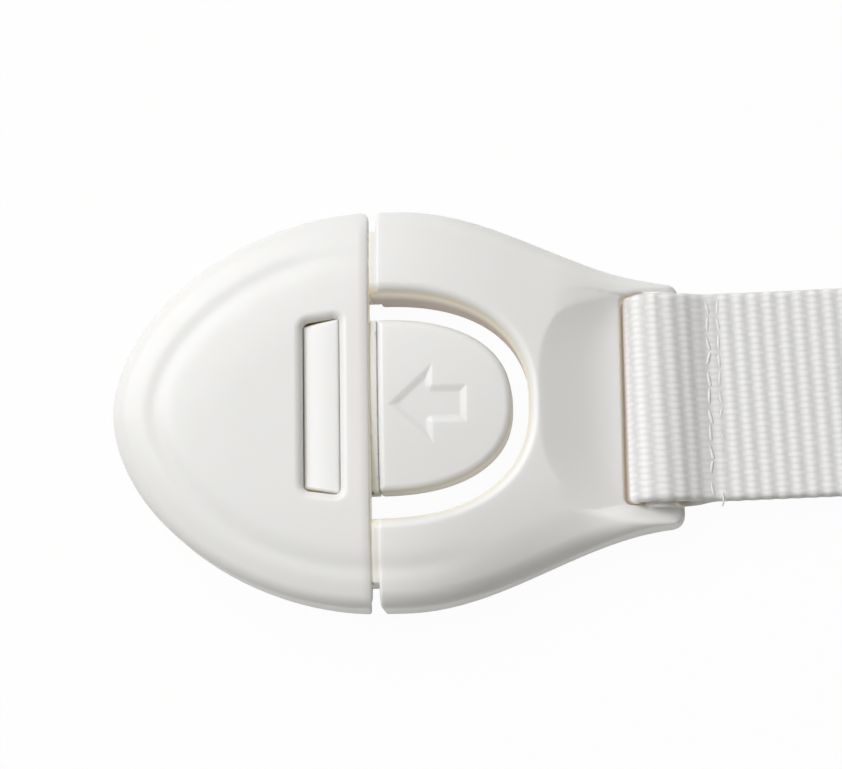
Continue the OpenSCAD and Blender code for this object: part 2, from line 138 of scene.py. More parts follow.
class Graph:
    """A node tree that is built by adding nodes with their settings and inputs."""

    def __init__(self, tree: bpy.types.NodeTree) -> None:
        """Wraps a node tree."""
        self.tree = tree

    @classmethod
    def fresh(cls, owner: Union[bpy.types.Material, bpy.types.World]) -> "Graph":
        """The emptied graph of a new material or world.

        Args:
            owner: The material or world.

        Returns:
            Its graph.
        """
        owner.use_nodes = True
        owner.node_tree.nodes.clear()
        return cls(owner.node_tree)

    def add(
        self,
        kind: str,
        settings: Optional[dict[str, Any]] = None,
        inputs: Optional[dict[Union[str, int], Value]] = None,
        out: Union[str, int] = 0,
    ) -> Optional[Socket]:
        """Adds a node.

        Args:
            kind: The node's type.
            settings: Properties, which are set before the inputs; "stops" fills a ramp.
            inputs: Values or sockets by input name or number.
            out: The output to give back.

        Returns:
            The chosen output, or None where the node has none.
        """
        node = self.tree.nodes.new(kind)
        for key, value in (settings or {}).items():
            if key == "stops":
                self._fill_ramp(node.color_ramp.elements, value)
            else:
                setattr(node, key, value)
        for key, value in (inputs or {}).items():
            self.feed(node.inputs[key], value)
        return Socket(self, node.outputs[out]) if len(node.outputs) else None

    @staticmethod
    def _fill_ramp(elements: bpy.types.ColorRampElements, stops: Sequence[tuple[float, Colour]]) -> None:
        """Sets a ramp's stops.

        Args:
            elements: The ramp's elements.
            stops: Places and colours.
        """
        while len(elements) < len(stops):
            elements.new(1.0)
        for element, (place, colour) in zip(elements, stops):
            element.position = place
            element.color = rgba(colour)

    def feed(self, socket: bpy.types.NodeSocket, value: Value) -> None:
        """Links a socket to an input, or sets its plain value.

        Args:
            socket: The input.
            value: The socket or the plain value.
        """
        if isinstance(value, Socket):
            self.tree.links.new(value.socket, socket)
        else:
            socket.default_value = value

    def maths(self, operation: str, *values: Value) -> Socket:
        """A Math node."""
        return self.add("ShaderNodeMath", {"operation": operation}, dict(enumerate(values)))

    def mix(self, share: Value, first: Value, second: Value) -> Socket:
        """A mix of two colours."""
        return self.add("ShaderNodeMix", {"data_type": "RGBA"}, {0: share, 6: first, 7: second}, out=2)

    def spread(self, value: Value, low: float, high: float, top: float = 1.0) -> Socket:
        """A value moved from a range to one from 0 to top, and held inside it."""
        return self.add("ShaderNodeMapRange", {}, {0: value, 1: low, 2: high, 3: 0.0, 4: top})

    def ramp(self, share: Value, stops: Sequence[tuple[float, Colour]]) -> Socket:
        """A colour ramp."""
        return self.add("ShaderNodeValToRGB", {"stops": stops}, {0: share})

    def xyz(self, *parts: Value) -> Socket:
        """A vector from its parts."""
        return self.add("ShaderNodeCombineXYZ", {}, dict(enumerate(parts)))

    def place(self) -> Socket:
        """The Object coordinates."""
        return self.add("ShaderNodeTexCoord", out="Object")

    def attribute(self, name: str) -> Socket:
        """A number stored on the mesh."""
        return self.add("ShaderNodeAttribute", {"attribute_name": name}, out="Fac")

    def noise(self, place: Socket, scale: float, detail: float, roughness: float = 0.5) -> Socket:
        """A noise pattern."""
        inputs = {"Vector": place, "Scale": scale, "Detail": detail, "Roughness": roughness}
        return self.add("ShaderNodeTexNoise", {}, inputs)

    def bump(self, strength: float, distance: float, height: Socket) -> Socket:
        """A bumped normal."""
        return self.add("ShaderNodeBump", {}, {"Strength": strength, "Distance": distance, "Height": height})

    def seen(self) -> Socket:
        """1 for rays that show the background: the camera's, and those through gloss and glass.

        Returns:
            The share, 0 or 1.
        """
        ray = self.add("ShaderNodeLightPath", out="Is Camera Ray")
        through = ray.other("Is Transmission Ray")
        return ray.math("MAXIMUM", ray.other("Is Glossy Ray")).math("MAXIMUM", through)


def rgba(colour: Colour) -> tuple[float, float, float, float]:
    """A colour with full alpha."""
    return (*colour, 1.0)


def tinted(colour: Colour, factor: float) -> tuple[float, float, float, float]:
    """A colour made lighter or darker, with full alpha."""
    return tuple(min(1.0, c * factor) for c in colour) + (1.0,)


# Finishes


@dataclass(frozen=True)
class Finish:
    """A surface finish that makes its own material."""

    name: str
    tone: Colour
    roughness: float

    def material(self) -> bpy.types.Material:
        """The finish's material, made once.

        Returns:
            The material.
        """
        made = bpy.data.materials.get(self.name)
        if made is None:
            made = bpy.data.materials.new(self.name)
            graph = Graph.fresh(made)
            shader = graph.add("ShaderNodeBsdfPrincipled", {}, {"Roughness": self.roughness})
            for key, value in self.dress(graph).items():
                graph.feed(shader.socket.node.inputs[key], value)
            graph.add("ShaderNodeOutputMaterial", {}, {"Surface": shader})
        return made

    def dress(self, graph: Graph) -> dict[str, Value]:
        """The values and sockets for the Principled shader's inputs, by name."""
        raise NotImplementedError


@dataclass(frozen=True)
class MouldedPlastic(Finish):
    """Satin injection-moulded plastic with a faint grain, with painted warm shade and a painted warm glow
    down in its gaps.
    """

    glow: float = 0.8
    glow_depth: float = 0.0009
    grain: float = 0.05
    grain_scale: float = 5200.0
    grain_depth: float = 0.00003
    cloud_scale: float = 55.0
    haze_scale: float = 420.0
    # Painted shade in the gaps: darker, browner colours further in, orange at the ramp's end for the
    # window's slits.
    painted_gap_shade: tuple[tuple[float, Colour], ...] = (
        (0.0, (0.76, 0.755, 0.71)),
        (0.4, (0.71, 0.67, 0.57)),
        (0.75, (0.48, 0.40, 0.31)),
        (1.0, (0.92, 0.68, 0.19)),
    )
    # Painted glow in the gaps: emitted warm light further in, though the plastic is no lamp.
    painted_gap_glow: tuple[tuple[float, Colour], ...] = (
        (0.12, (0.0, 0.0, 0.0)),
        (0.4, (0.22, 0.20, 0.155)),
        (0.75, (0.08, 0.06, 0.04)),
        (1.0, (0.46, 0.34, 0.095)),
    )

    def dress(self, graph: Graph) -> dict[str, Value]:
        """Flow clouds, fine grain, a little lighter on sharp outer edges, and the painted warm shade and
        glow in the gaps.

        Args:
            graph: The material's graph.

        Returns:
            Values and sockets by the names of the shader's inputs.
        """
        place = graph.place()
        cloud, haze = graph.noise(place, self.cloud_scale, 2.0), graph.noise(place, self.haze_scale, 3.0)
        grain = graph.noise(place, self.grain_scale, 2.0)
        # A little lighter colour and lower roughness on sharp outer edges.
        edge = graph.spread(graph.add("ShaderNodeNewGeometry", out="Pointiness"), 0.5, 0.56)
        body = graph.mix(cloud, tinted(self.tone, 0.985), tinted(self.tone, 1.01))
        tone = graph.mix(edge * 0.25, body, tinted(self.tone, 1.04))
        # Painted shade and painted glow in the gaps, from numbers stored on the points.
        depth = graph.attribute("depth")
        return {
            "Base Color": graph.mix(graph.spread(depth, 0.0, 0.25), tone, graph.ramp(depth, self.painted_gap_shade)),
            "Emission Color": graph.ramp(depth, self.painted_gap_glow),
            "Emission Strength": 1.0,
            "Roughness": self.roughness - 0.05 + 0.1 * haze - 0.04 * edge,
            "Normal": graph.bump(self.grain, self.grain_depth, grain),
            "IOR": 1.5,
            "Subsurface Weight": self.glow,
            "Subsurface Radius": (1.0, 0.95, 0.86),
            "Subsurface Scale": self.glow_depth,
        }


@dataclass(frozen=True)
class WovenPolyester(Finish):
    """White polyester webbing with beaded ribs across it, the crests and beads lighter as painted highlight
    and greyer between them as painted shade.
    """

    fibre_pitch: float = 0.00013
    fibre_len: float = 1 / 900
    lint: float = 1500.0
    half_width: float = 0.0101
    rib_pitch: float = 0.00145
    bead_pitch: float = 0.00062
    rung_pitch: float = 0.00175
    lean: float = 0.03
    # Painted warm shade for the loop where it runs down under the slot's lip.
    tucked: Colour = (0.50, 0.35, 0.33)

    def dress(self, graph: Graph) -> dict[str, Value]:
        """Beaded ribs, lighter on crests and beads and darker between them as painted light and shade, the
        rungs between them and fibre streaks.

        Args:
            graph: The material's graph.

        Returns:
            Values and sockets by the names of the shader's inputs.
        """
        along = graph.attribute("along")
        v = graph.attribute("across") * self.half_width
        cell = (along + v * self.lean) / self.rib_pitch
        number = cell.math("FLOOR")
        u = cell - number - 0.5
        rib = 0.5 + ((u * math.tau).math("COSINE") * 0.5) * graph.attribute("ribs")
        stagger = number.math("MODULO", 2.0) * 0.5
        bead = ((v / self.bead_pitch + stagger) * math.pi).math("SINE").math("ABSOLUTE")
        rung = ((v / self.rung_pitch + number * 0.37) * math.tau).math("COSINE").math("MAXIMUM", 0.0) ** 8.0
        weave = rib * (0.5 + 0.5 * bead) + (1 - rib) * (0.12 * bead + 0.3 * rung)
        line = graph.xyz(along / self.fibre_len, v / self.fibre_pitch, 0.0)
        fibre = graph.noise(line, 1.0, 3.0, 0.6)
        lint = graph.noise(graph.place(), self.lint, 4.0)
        # Painted shade in the valleys between ribs and painted highlight on the crests and beads.
        shade = graph.mix(weave + 0.3 * (lint - 0.5), tinted(self.tone, 0.76), tinted(self.tone, 1.07))
        streak = graph.mix(graph.spread(fibre, 0.3, 0.7, 0.12), shade, tinted(self.tone, 1.04))
        return {
            # Painted shade on the loop under the slot's lip.
            "Base Color": graph.mix(graph.attribute("lip_shade"), streak, rgba(self.tucked)),
            "Roughness": self.roughness + 0.15 * (lint - 0.5),
            "Normal": graph.bump(0.3, 0.0001, weave * 0.7 + fibre * 0.15 + lint * 0.15),
            "Sheen Weight": 0.25,
            "Sheen Roughness": 0.4,
            "Subsurface Weight": 0.15,
            "Subsurface Radius": (1.0, 0.95, 0.9),
            "Subsurface Scale": 0.0005,
        }


@dataclass(frozen=True)
class SewingThread(Finish):
    """Bright twisted polyester thread."""

    twist: float = 260.0
    slant: float = 0.6
    fuzz: float = 9000.0

    def dress(self, graph: Graph) -> dict[str, Value]:
        """The twist as slanted bands, the darker ones painted shade in the twist's grooves.

        Args:
            graph: The material's graph.

        Returns:
            Values and sockets by the names of the shader's inputs.
        """
        place = graph.place()
        turned = graph.add("ShaderNodeMapping", {}, {"Vector": place, "Rotation": (0.0, 0.0, self.slant)})
        twist = {"Vector": turned, "Scale": self.twist, "Distortion": 0.6}
        # Painted shade: darker slanted bands in the twist's grooves.
        band = graph.add("ShaderNodeTexWave", {}, twist)
        fuzz = graph.noise(place, self.fuzz, 2.0)
        return {
            "Base Color": graph.mix(band, tinted(self.tone, 0.93), rgba(self.tone)),
            "Roughness": self.roughness + 0.12 * fuzz,
            "Normal": graph.bump(0.3, 0.00004, band * 0.7 + fuzz * 0.3),
            "Sheen Weight": 0.15,
            "Subsurface Weight": 0.3,
            "Subsurface Radius": (1.0, 1.0, 1.0),
            "Subsurface Scale": 0.0005,
        }


@dataclass(frozen=True)
class PadFoam(Finish):
    """Closed-cell foam of a double-sided adhesive pad."""

    cell: float = 0.00035
    patch: float = 300.0

    def dress(self, graph: Graph) -> dict[str, Value]:
        """Foam cells, darker in their middles as painted shade in the cell pits.

        Args:
            graph: The material's graph.

        Returns:
            Values and sockets by the names of the shader's inputs.
        """
        place = graph.place()
        cells = graph.add("ShaderNodeTexVoronoi", {}, {"Vector": place, "Scale": 1.0 / self.cell})
        patch = graph.noise(place, self.patch, 3.0)
        wall = graph.spread(cells, 0.1, 0.6)
        # Painted shade in the middle of each foam cell.
        tone = graph.mix(wall, tinted(self.tone, 0.8), rgba(self.tone))
        return {
            "Base Color": graph.mix(patch * 0.3, tone, tinted(self.tone, 1.05)),
            "Roughness": self.roughness + 0.1 * patch,
            "Normal": graph.bump(0.5, 0.0001, wall),
            "Subsurface Weight": 0.2,
            "Subsurface Scale": 0.0006,
        }


@dataclass(frozen=True)
class LinerFilm(Finish):
    """Glossy silicone release paper with faint long fibres and soft ripples."""

    laid: Corner = (300.0, 1800.0, 300.0)
    ripple: float = 90.0

    def dress(self, graph: Graph) -> dict[str, Value]:
        """Paper fibres under the glossy face.

        Args:
            graph: The material's graph.

        Returns:
            Values and sockets by the names of the shader's inputs.
        """
        place = graph.place()
        laid = graph.add("ShaderNodeMapping", {}, {"Vector": place, "Scale": self.laid})
        fibre = graph.noise(laid, 1.0, 4.0)
        return {
            "Base Color": graph.mix(fibre, tinted(self.tone, 0.94), tinted(self.tone, 1.04)),
            "Roughness": self.roughness + 0.12 * fibre,
            "Normal": graph.bump(0.25, 0.0004, graph.noise(place, self.ripple, 1.0)),
            "Coat Weight": 0.4,
        }


HOUSING = MouldedPlastic("ivory_housing_plastic", (0.80, 0.80, 0.795), 0.4)
PLATE = MouldedPlastic("white_plate_plastic", (0.76, 0.76, 0.74), 0.5, glow=0.08)
STRAP_WEAVE = WovenPolyester("white_strap_webbing", (0.825, 0.825, 0.825), 0.62)
STRAP_THREAD = SewingThread("white_sewing_thread", (0.87, 0.87, 0.87), 0.5)
FOAM = PadFoam("white_pad_foam", (0.74, 0.74, 0.72), 0.8)
LINER = LinerFilm("honey_release_liner", (0.78, 0.68, 0.42), 0.28)


# Solid shapes as distance fields, in millimetres


def round_max(a: Array, b: Array, r: float) -> Array:
    """The overlap of two shapes, with a round edge of radius r."""
    return np.minimum(np.maximum(a, b), -r) + np.hypot(np.maximum(a + r, 0.0), np.maximum(b + r, 0.0))


def cut(a: Array, b: Array, r: float) -> Array:
    """Shape a without shape b, with a round edge of radius r."""
    return round_max(a, -b, r)


def join(a: Array, b: Array, r: float) -> Array:
    """Both shapes together, with a round inner corner of radius r."""
    return -round_max(-a, -b, r)


def soft_max(a: Array, b: Array, width: float) -> Array:
    """The overlap of two shapes, with a soft crease of that width."""
    near = np.maximum(width - np.abs(a - b), 0.0) / width
    return np.maximum(a, b) + near * near * width / 4


def overlap(*shapes: Array) -> Array:
    """The overlap of several shapes, with sharp edges.

    Args:
        shapes: Their fields.

    Returns:
        The overlap's field.
    """
    made = shapes[0]
    for shape in shapes[1:]:
        made = np.maximum(made, shape)
    return made


def within(value: Array, low: float, high: float) -> Array:
    """Distance from the space between two planes."""
    return np.abs(value - (low + high) / 2) - (high - low) / 2


def ease(value: Array, low: float, high: float) -> Array:
    """A smooth step from 0 at low to 1 at high."""
    t = np.clip((value - low) / (high - low), 0.0, 1.0)
    return t * t * (3 - 2 * t)


def oval_distance(x: Array, y: Array, length: float, half: float, power: float) -> Array:
    """Distance from a half oval that reaches along +x from its straight side at x = 0.

    Args:
        x: Place along the oval; the sides run on straight where it is negative.
        y: Place across the oval.
        length: Length of the half oval.
        half: Half of its width.
        power: Fullness, where 2 is an ellipse.

    Returns:
        Signed distances, negative inside.
    """
    px, py = np.broadcast_arrays(np.maximum(x, 0.0), np.abs(y))
    total = np.zeros(px.shape)
    for _ in range(3):
        u = np.maximum(px, 1e-6) / length
        w = np.maximum(py, 1e-6) / half
        g = (u**power + w**power) ** (1 / power)
        gx = (u / g) ** (power - 1) / length
        gy = (w / g) ** (power - 1) / half
        size = np.hypot(gx, gy)
        step = (g - 1) / size
        total = total + step
        px = np.maximum(px - step * gx / size, 0.0)
        py = np.maximum(py - step * gy / size, 0.0)
    return total


def polygon_distance(x: Array, y: Array, corners: Sequence[tuple[float, float]]) -> Array:
    """Signed distance from a closed polygon, negative inside.

    Args:
        x: Places along X.
        y: Places along Y.
        corners: The polygon's corners in order.

    Returns:
        Signed distances.
    """
    px, py = np.broadcast_arrays(np.asarray(x, float), np.asarray(y, float))
    best = np.full(px.shape, np.inf)
    inside = np.zeros(px.shape, bool)
    for (ax, ay), (bx, by) in zip(corners, [*corners[1:], corners[0]]):
        ex, ey = bx - ax, by - ay
        t = np.clip(((px - ax) * ex + (py - ay) * ey) / (ex * ex + ey * ey), 0.0, 1.0)
        best = np.minimum(best, np.hypot(px - ax - t * ex, py - ay - t * ey))
        if ey:
            crosses = (ay > py) != (by > py)
            inside ^= crosses & (px < ex * (py - ay) / ey + ax)
    return np.where(inside, -best, best)


def surface_net(shape: Distance, low: Corner, high: Corner, step: Corner) -> tuple[Array, Array, Array]:
    """Meshes the zero surface of a distance field with quads.

    Args:
        shape: The field, which takes arrays of x, y and z that spread over each other.
        low: The box's lowest corner.
        high: The box's highest corner.
        step: The grid's step along each axis.

    Returns:
        The points, the quads with outward order, and the points' normals.
    """
    axes = [np.arange(a - 1.5 * s, b + 2.5 * s, s) for a, b, s in zip(low, high, step)]
    grid = np.meshgrid(*axes, indexing="ij", sparse=True)
    values = np.array(np.broadcast_to(shape(*grid), [len(a) for a in axes]), float)
    inside = values < 0
    cells = tuple(len(a) - 1 for a in axes)
    corners = list(itertools.product((0, 1), repeat=3))
    count = np.zeros(cells, np.int8)
    for o in corners:
        count += inside[tuple(slice(i, i + n) for i, n in zip(o, cells))]
    active = (count > 0) & (count < 8)
    found = np.argwhere(active)
    number = np.full(cells, -1, np.int64)
    number[active] = np.arange(len(found))
    total = np.zeros((len(found), 3))
    hits = np.zeros(len(found))
    for axis, o in itertools.product(range(3), corners):
        if o[axis]:
            continue
        start = found + o
        end = start.copy()
        end[:, axis] += 1
        a, b = values[tuple(start.T)], values[tuple(end.T)]
        cross = (a < 0) != (b < 0)
        place = np.array(o, float) + np.zeros((cross.sum(), 3))
        place[:, axis] += (a / np.where(cross, a - b, 1.0))[cross]
        total[cross] += place
        hits[cross] += 1
    size = np.array(step)
    points = np.array([a[0] for a in axes]) + size * (found + total / hits[:, None])
    quads = []
    for axis in range(3):
        u, v = (axis + 1) % 3, (axis + 2) % 3
        first = [slice(None)] * 3
        second = [slice(None)] * 3
        first[axis], second[axis] = slice(0, -1), slice(1, None)
        change = inside[tuple(first)] != inside[tuple(second)]
        edges = np.argwhere(change)
        keep = np.all((edges > 0) & (edges < np.array(cells)) | (np.arange(3) == axis), axis=1)
        edges = edges[keep]
        eu, ev = np.eye(3, dtype=int)[u], np.eye(3, dtype=int)[v]
        ring = [number[tuple((edges + d).T)] for d in (-eu - ev, -ev, 0 * eu, -eu)]
        quad = np.stack(ring, 1)
        outward = inside[tuple(edges.T)]
        quads.append(np.where(outward[:, None], quad, quad[:, ::-1]))
    points, normals = settle(shape, points, float(size.min()))
    return points, np.concatenate(quads), normals


def settle(shape: Distance, points: Array, reach: float) -> tuple[Array, Array]:
    """Moves points onto the zero surface of a field.

    Args:
        shape: The field.
        points: Points near its surface.
        reach: The furthest that a point may move at once.

    Returns:
        The moved points and the surface's normals there.
    """
    small = 0.01
    normals = points
    for _ in range(4):
        value = shape(*points.T)
        slope = np.stack(
            [(shape(*(points + small * axis).T) - value) / small for axis in np.eye(3)], 1
        )
        square = np.maximum((slope * slope).sum(1), 0.05)
        move = np.clip(value / square, -reach, reach)
        points = points - move[:, None] * slope
        normals = slope / np.sqrt(square)[:, None]
    return points, normals


def linked(name: str, data: bpy.types.ID) -> Piece:
    """A new object, linked to the scene.

    Args:
        name: The new object's name.
        data: Its mesh, curve, lamp or camera.

    Returns:
        The object.
    """
    made = bpy.data.objects.new(name, data)
    bpy.context.scene.collection.objects.link(made)
    return made


def plain_mesh(source: Piece, name: str) -> Piece:
    """A plain mesh object from another object as it is evaluated, which is used up.

    Args:
        source: The object that is used up.
        name: The new object's name.

    Returns:
        The new object.
    """
    depsgraph = bpy.context.evaluated_depsgraph_get()
    mesh = bpy.data.meshes.new_from_object(source.evaluated_get(depsgraph))
    bpy.data.objects.remove(source, do_unlink=True)
    mesh.name = name
    return linked(name, mesh)


def put_numbers(piece: Piece, key: str, values: Array) -> None:
    """Stores a number on each point of a mesh."""
    piece.data.attributes.new(key, "FLOAT", "POINT").data.foreach_set("value", values.astype(np.float32))


def mesh_from(name: str, points: Array, faces: Array, material: bpy.types.Material) -> Piece:
    """Makes a smooth mesh object from points in metres.

    Args:
        name: The object's name.
        points: Its points.
        faces: Quads as rows of point numbers.
        material: Its material.

    Returns:
        The object, linked to the scene.
    """
    mesh = bpy.data.meshes.new(name)
    mesh.vertices.add(len(points))
    mesh.vertices.foreach_set("co", np.asarray(points, np.float32).ravel())
    mesh.loops.add(faces.size)
    mesh.loops.foreach_set("vertex_index", faces.astype(np.int32).ravel())
    mesh.polygons.add(len(faces))
    mesh.polygons.foreach_set("loop_start", np.arange(0, faces.size, faces.shape[1], dtype=np.int32))
    mesh.polygons.foreach_set("use_smooth", np.ones(len(faces), bool))
    mesh.update(calc_edges=True)
    mesh.validate()
    mesh.materials.append(material)
    return linked(name, mesh)


@dataclass(frozen=True)
class Place:
    """Where a sub-assembly stands: its X in the part's frame and whether it faces backwards."""

    x: float
    turned: bool = False

    def turn(self, normals: Array) -> Array:
        """Directions in the sub-assembly, as directions of the part."""
        way = -1.0 if self.turned else 1.0
        return normals * np.array([way, way, 1.0])

    def apply(self, points: Array) -> Array:
        """Points in millimetres of the sub-assembly, as metres of the part."""
        return (self.turn(points) + np.array([self.x, 0.0, 0.0])) * MM


def moulded(
    name: str,
    shape: Distance,
    low: Corner,
    high: Corner,
    step: Union[float, Corner],
    place: Place,
    finish: Finish,
    depth: Optional[Distance] = None,
) -> Piece:
    """Makes a piece from its distance field.

    Args:
        name: The piece's name.
        shape: Its field in millimetres.
        low: The field's lowest corner.
        high: The field's highest corner.
        step: The grid's step, one for all axes or one for each.
        place: Where the piece stands.
        finish: Its finish.
        depth: How much painted shade and painted glow each point takes in a gap, from 0 to 1, for the
            finish.

    Returns:
        The finished object.
    """
    points, quads, normals = surface_net(shape, low, high, np.broadcast_to(step, 3))
    made = mesh_from(name, place.apply(points), quads, finish.material())
    made.data.normals_split_custom_set_from_vertices(place.turn(normals))
    # Each point's share of painted shade and painted glow in the gaps.
    if depth:
        put_numbers(made, "depth", np.clip(depth(*points.T), 0.0, 1.0))
    return made


def settle_piece(piece: Piece, body: Body, slot: Slot, node: str) -> Piece:
    """Puts a rigid piece on its body in place of its CAD node.

    Args:
        piece: The piece.
        body: The body that it rides on.
        slot: The material slot of its finish.
        node: The CAD node that it stands for.

    Returns:
        The piece.
    """
    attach(piece, body.value)
    return dress_record(piece, slot, node)


def dress_record(piece: Piece, slot: Slot, node: str) -> Piece:
    """Hides the CAD node that a piece stands for, and reports the piece.

    Args:
        piece: The piece.
        slot: Not used.
        node: The CAD node.

    Returns:
        The piece.
    """
    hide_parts(node)
    faces = sum(len(p.vertices) - 2 for p in piece.data.polygons)
    LOG.info("%s: %d triangles, for %s", piece.name, faces, node)
    return piece


# Shapes that the latch, the buckle and the anchor share


@dataclass(frozen=True)
class Profile:
    """Rounded edge and soft groove round a moulded top."""

    edge_r: float = 1.6
    band_fall: float = 0.6
    band_w: float = 4.2
    rise: float = 0.9
    flat_at: float = 12.0
    dip: float = 0.2
    dip_at: float = 4.4
    dip_low: float = 0.7
    dip_width: float = 1.0

    def drop(self, inset: Array, y: Array, share: Union[float, Array] = 1.0) -> Array:
        """How far the top lies below its middle.

        Args:
            inset: Distance from the outline.
            y: Place across the part, as the groove runs nearer the edge on one side.
            share: How much of the groove is there.

        Returns:
            The drop.
        """
        middle = self.dip_at - self.dip_low * ease(-y, 5.0, 14.0)
        groove = self.dip * np.exp(-(((inset - middle) / self.dip_width) ** 2))
        band = self.band_fall * (1 - np.clip(inset / self.band_w, 0.0, 1.0)) ** 1.5
        return self.rise * (1 - np.clip(inset / self.flat_at, 0.0, 1.0)) ** 2 + band + share * groove


@dataclass(frozen=True)
class Tail:
    """A tail that narrows to the bar which holds the strap."""

    length: float
    root_w: float
    top: float
    shoulder: float = 1.9
    ease_out: float = 1.0
    end_w: float = 23.6
    end_r: float = 1.2
    crown_r: float = 130.0
    bar_to_end: float = 2.2
    bar_r: float = 1.6
    bar_z: float = 3.7
    slot_back: float = 3.62
    slot_half: float = 10.27
    slot_mid: float = 0.0
    scoop_len: float = 7.88
    scoop_slope: float = 0.45
    scoop_r: float = 12.0
    scoop_run: float = 4.0
    scoop_bow: float = 4.6
    scoop_half: float = 10.8
    scoop_power: float = 3.4
    wall_in: float = 0.55
    wall_steep: tuple[float, float] = (5.0, 3.0)
    crease: float = 0.07
    side_crease: float = 0.7
    ledge: float = 0.35
    ledge_z: float = 2.6

    @property
    def bar_x(self) -> float:
        """Where the bar lies along the tail."""
        return self.length - self.bar_to_end

    @property
    def lip_x(self) -> float:
        """Where the strap's slot starts."""
        return self.bar_x - self.slot_back

    def side(self, x: Array, y: Array) -> Array:
        """Distance from the tail's sides.

        Args:
            x: Places along it.
            y: Places across it.

        Returns:
            Signed distances, negative inside.
        """
        fall = self.length + self.ease_out - self.shoulder
        s = np.clip((x - self.shoulder) / fall, 0.0, 1.0)
        quarter = (self.root_w - self.end_w) / 4
        half = self.end_w / 2 + quarter * (1 + np.cos(np.pi * s))
        slope = np.where((s > 0) & (s < 1), -quarter * np.pi / fall * np.sin(np.pi * s), 0.0)
        return (np.abs(y) - half) / np.sqrt(1 + slope * slope)

    def crown(self, x: Array) -> Array:
        """Height of the crowned top."""
        return self.top - np.maximum(x, 0.0) ** 2 / (2 * self.crown_r)

    def slot(self, x: Array, y: Array) -> Array:
        """The strap's slot at the tail's end."""
        return round_max(self.lip_x - x, np.abs(y - self.slot_mid) - self.slot_half, 0.8)

    def carve(self, body: Array, x: Array, y: Array, z: Array, sag: Array) -> Array:
        """Cuts the scoop and the strap's slot, and adds the bar.

        Args:
            body: The tail's field.
            x: Place along the tail.
            y: Place across it.
            z: Height.
            sag: How far the top has fallen towards its sides, which the scoop follows.

        Returns:
            The carved field.
        """
        across = np.abs(y - self.slot_mid)
        wall = self.scoop_half - self.wall_in * ease(x, self.length - 8.8, self.length - 5.3)
        upper, lower = self.wall_steep
        line = self.lip_x - self.scoop_len + self.scoop_bow * (across / self.scoop_half) ** self.scoop_power
        line = line + np.where(y > 0, upper, lower) * np.maximum(across - wall, 0.0)
        line = np.minimum(line, self.length + 0.7)
        s = x - line
        fall = self.scoop_slope * s - np.maximum(s - self.scoop_run, 0.0) ** 2 / (2 * self.scoop_r)
        hollow = z + sag - self.crown(line) + fall
        crease = self.crease + self.side_crease * ease(across, 8.0, 10.5)
        body = soft_max(body, hollow / math.hypot(1.0, self.scoop_slope), crease)
        body = cut(body, self.slot(x - self.ledge * ease(self.ledge_z - z, 0.0, 0.8), y), 0.18)
        bar = np.hypot(x - self.bar_x, z - self.bar_z) - self.bar_r
        return join(body, np.maximum(bar, across - self.slot_half - 0.3), 0.3)


@dataclass
class StickOnBase:
    """A base that sticks on a cabinet: a cover over a back plate, an adhesive pad and a release liner.

    The kinds of base give its body, place and length, its cover_shape, plate_shape and pad_outline, and how
    much painted shade and glow the cover's points take in gaps as cover_depth.
    """

    body: ClassVar[Body]
    cover_step: ClassVar[float]
    cover_depth: ClassVar[Optional[Distance]] = None
    front: ClassVar[float]
    power: float = 1.85
    rim: float = 1.1
    base_z: float = 1.1
    floor_z: float = 2.3
    plate_round: float = 0.15
    pad_inset: float = 1.5
    pad_middle: float = 0.6
    pad_half: float = 0.5
    pad_waist: float = 0.12
    pad_ripple: float = 0.03
    film: float = 0.1
    profile: Profile = field(default_factory=Profile)

    def plate(self, outline: Array, z: Array) -> Array:
        """A back plate of some outline."""
        return round_max(outline, within(z, self.base_z, self.floor_z), self.plate_round)

    def foam_shape(self, x: Array, y: Array, z: Array) -> Array:
        """The pad's field, with its slightly drawn-in cut edge.

        Args:
            x: Places along it.
            y: Places across it.
            z: Heights.

        Returns:
            Signed distances, negative inside.
        """
        rise = z - self.pad_middle
        ripple = self.pad_ripple * np.sin(x * 2.9 + 1.3 * np.sin(y * 1.7)) * np.sin(y * 2.3 + x)
        waist = self.pad_waist * (1 - (rise / self.pad_half) ** 2)
        return round_max(self.pad_outline(x, y) + waist + ripple, np.abs(rise) - self.pad_half, 0.12)

    def film_shape(self, x: Array, y: Array, z: Array) -> Array:
        """The liner's field."""
        return round_max(self.pad_outline(x, y), within(z, 0.0, self.film), 0.03)

    def oval(self, x: Array, y: Array) -> Array:
        """Distance from the half oval of the outline."""
        return oval_distance(-x, y, self.length, self.width / 2, self.power)

    def build(self) -> list[Piece]:
        """Builds the base's four pieces.

        Returns:
            The pieces.
        """
        name, half = self.body.value, self.width / 2
        back, front = (-self.length, -half), (self.front, half)
        whole = (*back, self.base_z), (*front, self.height)
        foam_box, film_box = (((*back, 0.0), (*front, top)) for top in (self.base_z, self.film))
        pieces = []
        for look, node, shape, slot, finish, box, step in (
            ("cover_moulding", "cover", self.cover_shape, Slot.HOUSING, HOUSING, whole, self.cover_step),
            ("plate_moulding", "back_plate", self.plate_shape, Slot.PLATE, PLATE, whole, 0.25),
            ("foam_pad", "adhesive_pad", self.foam_shape, Slot.FOAM, FOAM, foam_box, 0.16),
            ("liner_film", "release_liner", self.film_shape, Slot.LINER, LINER, film_box, (0.3, 0.3, 0.02)),
        ):
            depth = self.cover_depth if slot is Slot.HOUSING else None
            piece = moulded(f"{name}_{look}", shape, *box, step, self.place, finish, depth)
            pieces.append(settle_piece(piece, self.body, slot, f"{name}_{node}"))
        return pieces


